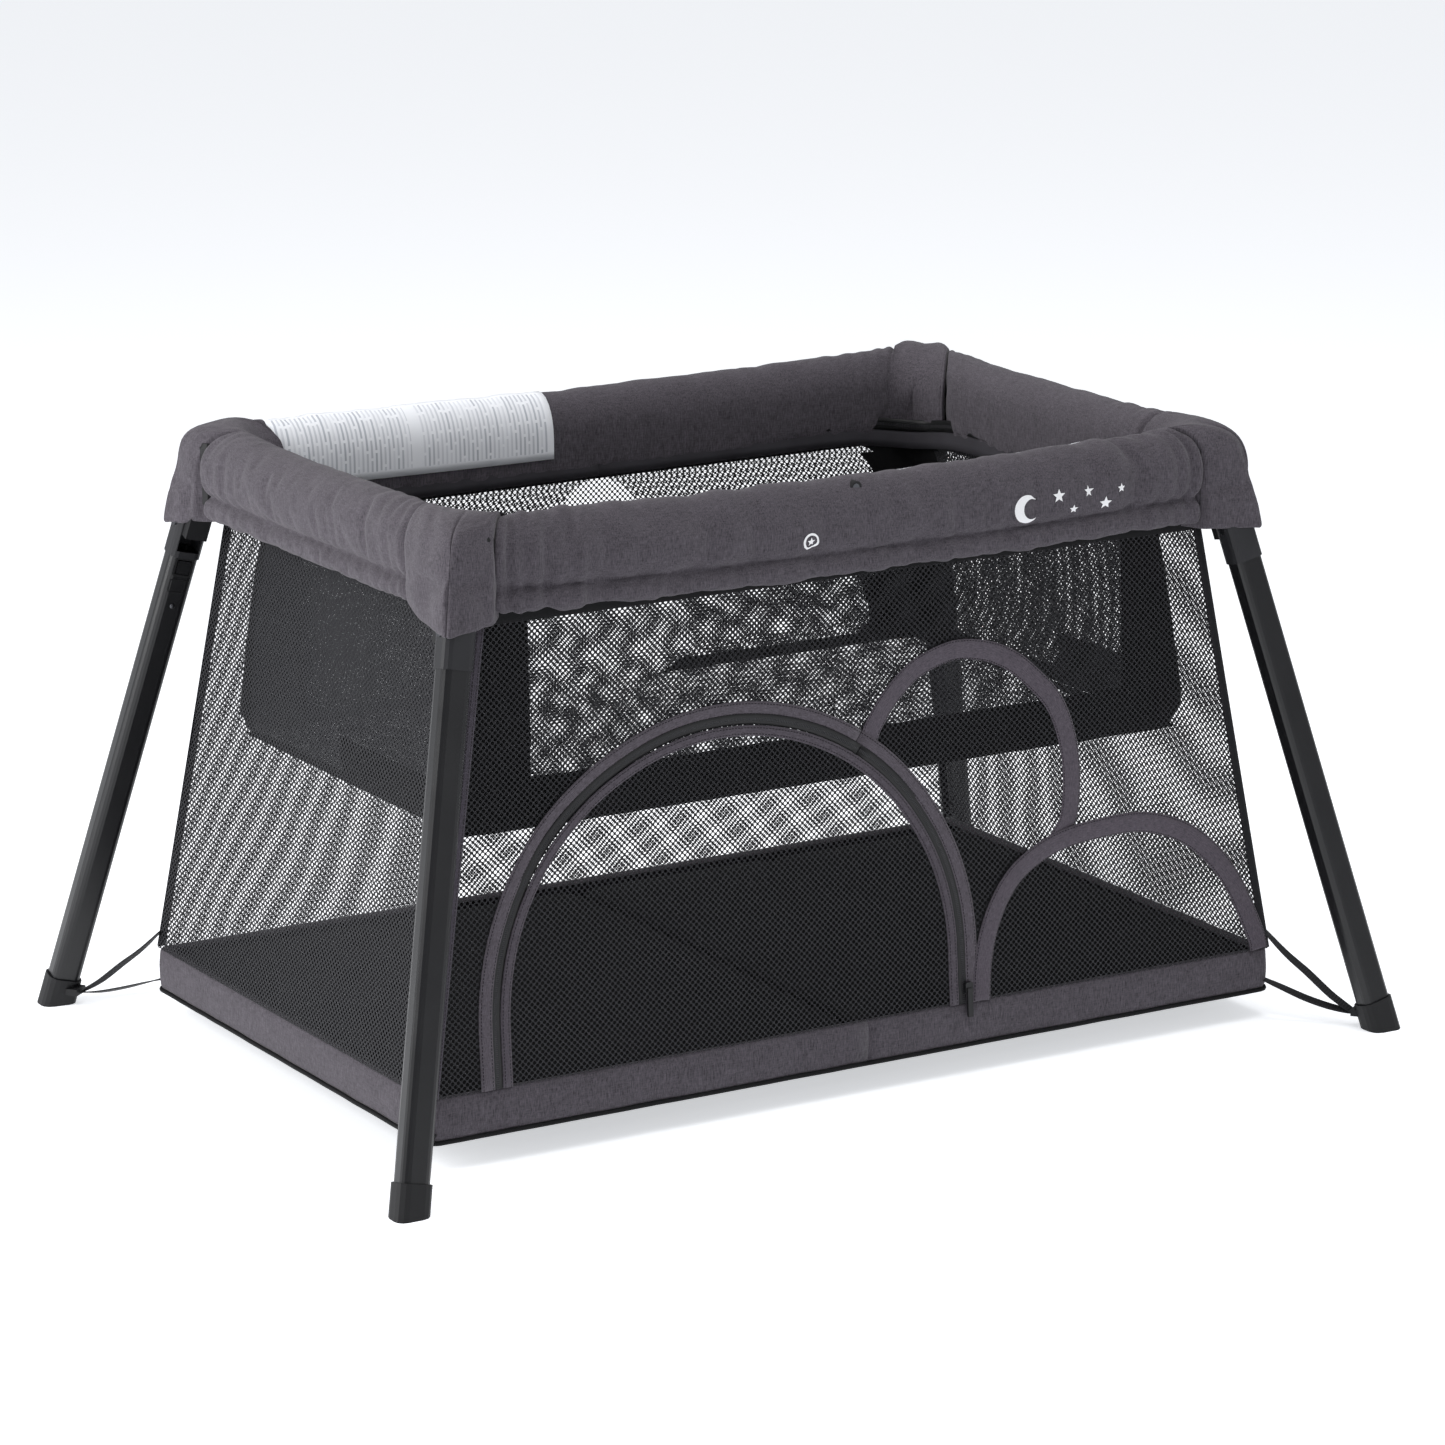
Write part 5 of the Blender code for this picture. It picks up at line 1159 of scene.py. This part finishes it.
label_cloth, label_shader = start_material("woven_label_white", "eceef2", 0.75, specular=0.2)
label_map = add_node(label_cloth, "UVMap", {"uv_map": "cloth"})
label_bars = add_node(label_cloth, "TexBrick", {"offset": 0.37, "squash": 0.6, "squash_frequency": 3},
                      {"Vector": label_map.outputs["UV"], "Color1": linear("b4b7bf"), "Color2": linear("e0e2e7"),
                       "Mortar": linear("eceef2"), "Scale": 1.0, "Mortar Size": 0.0017, "Mortar Smooth": 0.3,
                       "Brick Width": 0.034, "Row Height": 0.0052})
label_place = add_node(label_cloth, "SeparateXYZ", inputs={"Vector": label_map.outputs["UV"]})
label_u = add_node(label_cloth, "Math", {"operation": "PINGPONG"}, {0: label_place.outputs["Y"], 1: 0.1645})
label_in_u = add_node(label_cloth, "MapRange", inputs={"Value": label_u.outputs["Value"], "From Min": 0.006, "From Max": 0.0065})
label_out_u = add_node(label_cloth, "MapRange", inputs={"Value": label_u.outputs["Value"], "From Min": 0.1590, "From Max": 0.1585})
label_v = add_node(label_cloth, "Math", {"operation": "ABSOLUTE"}, {0: label_place.outputs["X"]})
label_in_v = add_node(label_cloth, "MapRange", inputs={"Value": label_v.outputs["Value"], "From Min": 0.0335, "From Max": 0.033})
label_uv = add_node(label_cloth, "Math", {"operation": "MULTIPLY"}, {0: label_in_u.outputs["Result"], 1: label_out_u.outputs["Result"]})
label_area = add_node(label_cloth, "Math", {"operation": "MULTIPLY"}, {0: label_uv.outputs["Value"], 1: label_in_v.outputs["Result"]})
label_tone = add_node(label_cloth, "MixRGB", inputs={0: label_area.outputs["Value"], 1: linear("eceef2"), 2: label_bars.outputs["Color"]})
label_weave = add_node(label_cloth, "TexChecker", inputs={"Vector": label_map.outputs["UV"], "Scale": 1400.0})
label_relief = add_node(label_cloth, "Bump", inputs={"Height": label_weave.outputs["Fac"], "Strength": 0.1, "Distance": 0.0002})
label_cloth.node_tree.links.new(label_tone.outputs["Color"], label_shader.inputs["Base Color"])
label_cloth.node_tree.links.new(label_relief.outputs["Normal"], label_shader.inputs["Normal"])

rear_sleeve = bpy.data.objects["rail_sleeve_rear"]
front_sleeve = bpy.data.objects["rail_sleeve_front"]
inner_side = [SLEEVE_SHAPE[n] for n in range(4, 15)]
rows = []
for n in range(45):
    x = -0.384 + 0.329 * n / 44
    drop = LONG_SAG["rear"] * (1 - (x / 0.4) ** 2)
    rows.append([(x, INNER_Y + out / 1000, RAIL_TOP - deep / 1000 - drop) for out, deep in inner_side])
care_label = over_cloth("care_label", rows, rear_sleeve, label_cloth, thickness=0.0005)
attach(care_label, "left_half")
rows = []
for n in range(31):
    x = 0.055 + 0.245 * n / 30
    drop = LONG_SAG["front"] * (1 - (x / 0.4) ** 2)
    rows.append([(x, -(INNER_Y + out / 1000), RAIL_TOP - deep / 1000 - drop) for out, deep in inner_side[:-2]])
inner_label = over_cloth("inner_label", rows, front_sleeve, label_cloth, thickness=0.0005)
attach(inner_label, "right_half")

# Print: an even white plastisol film, slightly raised, with a trace of the weave under it.
print_film, film_shader = start_material("white_screen_print", "f2f2f4", 0.6, specular=0.3)
film_place = add_node(print_film, "TexCoord").outputs["Object"]
film_weave = add_node(print_film, "TexNoise", inputs={"Vector": film_place, "Scale": 900.0, "Detail": 2.0})
film_tone = add_node(print_film, "MixRGB", {"blend_type": "MULTIPLY"}, {0: 0.12, 1: linear("f2f2f4"), 2: film_weave.outputs["Fac"]})
film_relief = add_node(print_film, "Bump", inputs={"Height": film_weave.outputs["Fac"], "Strength": 0.2, "Distance": 0.0003})
print_film.node_tree.links.new(film_tone.outputs["Color"], film_shader.inputs["Base Color"])
print_film.node_tree.links.new(film_relief.outputs["Normal"], film_shader.inputs["Normal"])


def printed(name, outline, body, layers=5):
    """A printed shape: its outline, filled towards its middle in rings and laid on the front sleeve."""
    middle = sum((Vector(point) for point in outline), Vector((0, 0))) / len(outline)
    rows = []
    for n in range(layers + 1):
        share = 1 - 0.995 * n / layers
        rows.append([(x, -0.2985, z) for x, z in
                     ((middle + (Vector(point) - middle) * share) for point in outline)])
    piece = over_cloth(name, rows, front_sleeve, print_film, lift=0.0005, ring=True)
    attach(piece, body)
    return piece


def star(x, z, radius):
    """Outline of a five-pointed star."""
    return [(x + (radius if n % 2 == 0 else radius * 0.45) * math.sin(math.radians(36 * n)),
             z + (radius if n % 2 == 0 else radius * 0.45) * math.cos(math.radians(36 * n))) for n in range(10)]


def strip_print(name, centre_line, half_width, body):
    """A printed stroke along a line, half_width wide at each point."""
    rows = []
    for at, (x, z) in enumerate(centre_line):
        before, after = centre_line[max(at - 1, 0)], centre_line[min(at + 1, len(centre_line) - 1)]
        run = (Vector(after) - Vector(before)).normalized()
        wide = half_width(at / (len(centre_line) - 1))
        rows.append([(x - run.y * wide * share, -0.2985, z + run.x * wide * share) for share in (-1, -0.33, 0.33, 1)])
    piece = over_cloth(name, rows, front_sleeve, print_film, lift=0.0005)
    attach(piece, body)
    return piece


def circle_line(x, z, radius, first, last, steps=28):
    return [(x + radius * math.cos(math.radians(first + (last - first) * n / steps)),
             z + radius * math.sin(math.radians(first + (last - first) * n / steps))) for n in range(steps + 1)]


strip_print("printed_moon", circle_line(0.197, 0.580, 0.0125, 50, 310), lambda share: 0.0001 + 0.0052 * math.sin(math.pi * share), "right_half")
for number, (x, z, radius) in enumerate(((0.232, 0.590, 0.0075), (0.252, 0.573, 0.0055), (0.270, 0.591, 0.0065),
                                          (0.290, 0.576, 0.0075), (0.309, 0.590, 0.0050))):
    printed("printed_star_%d" % number, star(x, z, radius), "right_half")
strip_print("printed_ring", circle_line(-0.0605, 0.5755, 0.0082, 0, 360, 32), lambda share: 0.0012, "left_half")
printed("printed_ring_star", star(-0.0605, 0.5755, 0.0050), "left_half")

# ------------------------------------------------------------ foot straps
# A black polypropylene strap goes from each corner of the base through the eye on the foot and back, so
# that it makes a narrow V. It holds the base down and stops the legs spreading.
# Webbing: 1.6 mm ribs across a 10 mm strap, flat black, with a little shine on the ribs.
webbing, webbing_shader = start_material("black_polypropylene_webbing", "161618", 0.6, specular=0.35)
webbing_map = add_node(webbing, "UVMap", {"uv_map": "cloth"})
webbing_ribs = add_node(webbing, "TexWave", {"bands_direction": "Y"}, {"Vector": webbing_map.outputs["UV"], "Scale": 100.0})
webbing_yarn = add_node(webbing, "TexNoise", inputs={"Vector": webbing_map.outputs["UV"], "Scale": 1500.0})
webbing_tone = add_node(webbing, "ValToRGB", inputs={"Fac": webbing_yarn.outputs["Fac"]})
webbing_tone.color_ramp.elements[0].color = linear("111113")
webbing_tone.color_ramp.elements[1].color = linear("29292c")
webbing_relief = add_node(webbing, "Bump", inputs={"Height": webbing_ribs.outputs["Fac"], "Strength": 0.6, "Distance": 0.0005})
webbing.node_tree.links.new(webbing_tone.outputs["Color"], webbing_shader.inputs["Base Color"])
webbing.node_tree.links.new(webbing_relief.outputs["Normal"], webbing_shader.inputs["Normal"])

for corner in CORNERS:
    side, end = corner.split("_")
    way_x = -1 if end == "left" else 1
    way_y = -1 if side == "front" else 1
    low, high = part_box("strap_" + corner)
    foot = Vector((low[0] if way_x < 0 else high[0], low[1] if way_y < 0 else high[1], 0.0160))
    base = Vector((way_x * 0.4965, way_y * 0.3035, 0.0))
    away = Vector((foot.x - base.x, foot.y - base.y, 0)).normalized()
    side_way = Vector((-away.y, away.x, 0))
    upper = Vector((base.x, base.y, 0.093)) + away * 0.001
    lower = Vector((base.x, base.y, 0.040)) + away * 0.001
    turn = foot - away * 0.004
    mid_up = upper.lerp(turn, 0.5) + Vector((0, 0, -0.003)) + side_way * 0.002
    mid_low = lower.lerp(turn, 0.5) + Vector((0, 0, -0.0035)) - side_way * 0.002
    line = smooth_line([upper, upper.lerp(mid_up, 0.5) - Vector((0, 0, 0.002)), mid_up, mid_up.lerp(turn, 0.55) - Vector((0, 0, 0.0015)),
                        turn + Vector((0, 0, 0.0012)), turn + away * 0.0024, turn - Vector((0, 0, 0.0012)),
                        mid_low.lerp(turn, 0.55) - Vector((0, 0, 0.002)), mid_low, lower.lerp(mid_low, 0.4), lower], 8)
    rows = []
    for at, point in enumerate(line):
        share = at / (len(line) - 1)
        run = (line[min(at + 1, len(line) - 1)] - line[max(at - 1, 0)]).normalized()
        flat = run.cross(side_way).normalized()
        twist = math.radians(30) * math.sin(math.pi * min(1.0, share * 2)) if share < 0.5 else math.radians(-24) * math.sin(math.pi * (share * 2 - 1))
        across = side_way * math.cos(twist) + flat * math.sin(twist)
        rows.append([point + across * 0.0046 * part for part in (-1, -0.5, 0, 0.5, 1)])
    strap = make_piece("foot_strap_" + corner, loft("strap", rows), webbing)
    shell = strap.modifiers.new("strap_thickness", "SOLIDIFY")
    shell.thickness = 0.0013
    shell.offset = 0.0
    bake_modifiers(strap)
    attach(strap, "leg_" + corner)
    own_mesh(strap)
    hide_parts("strap_" + corner)
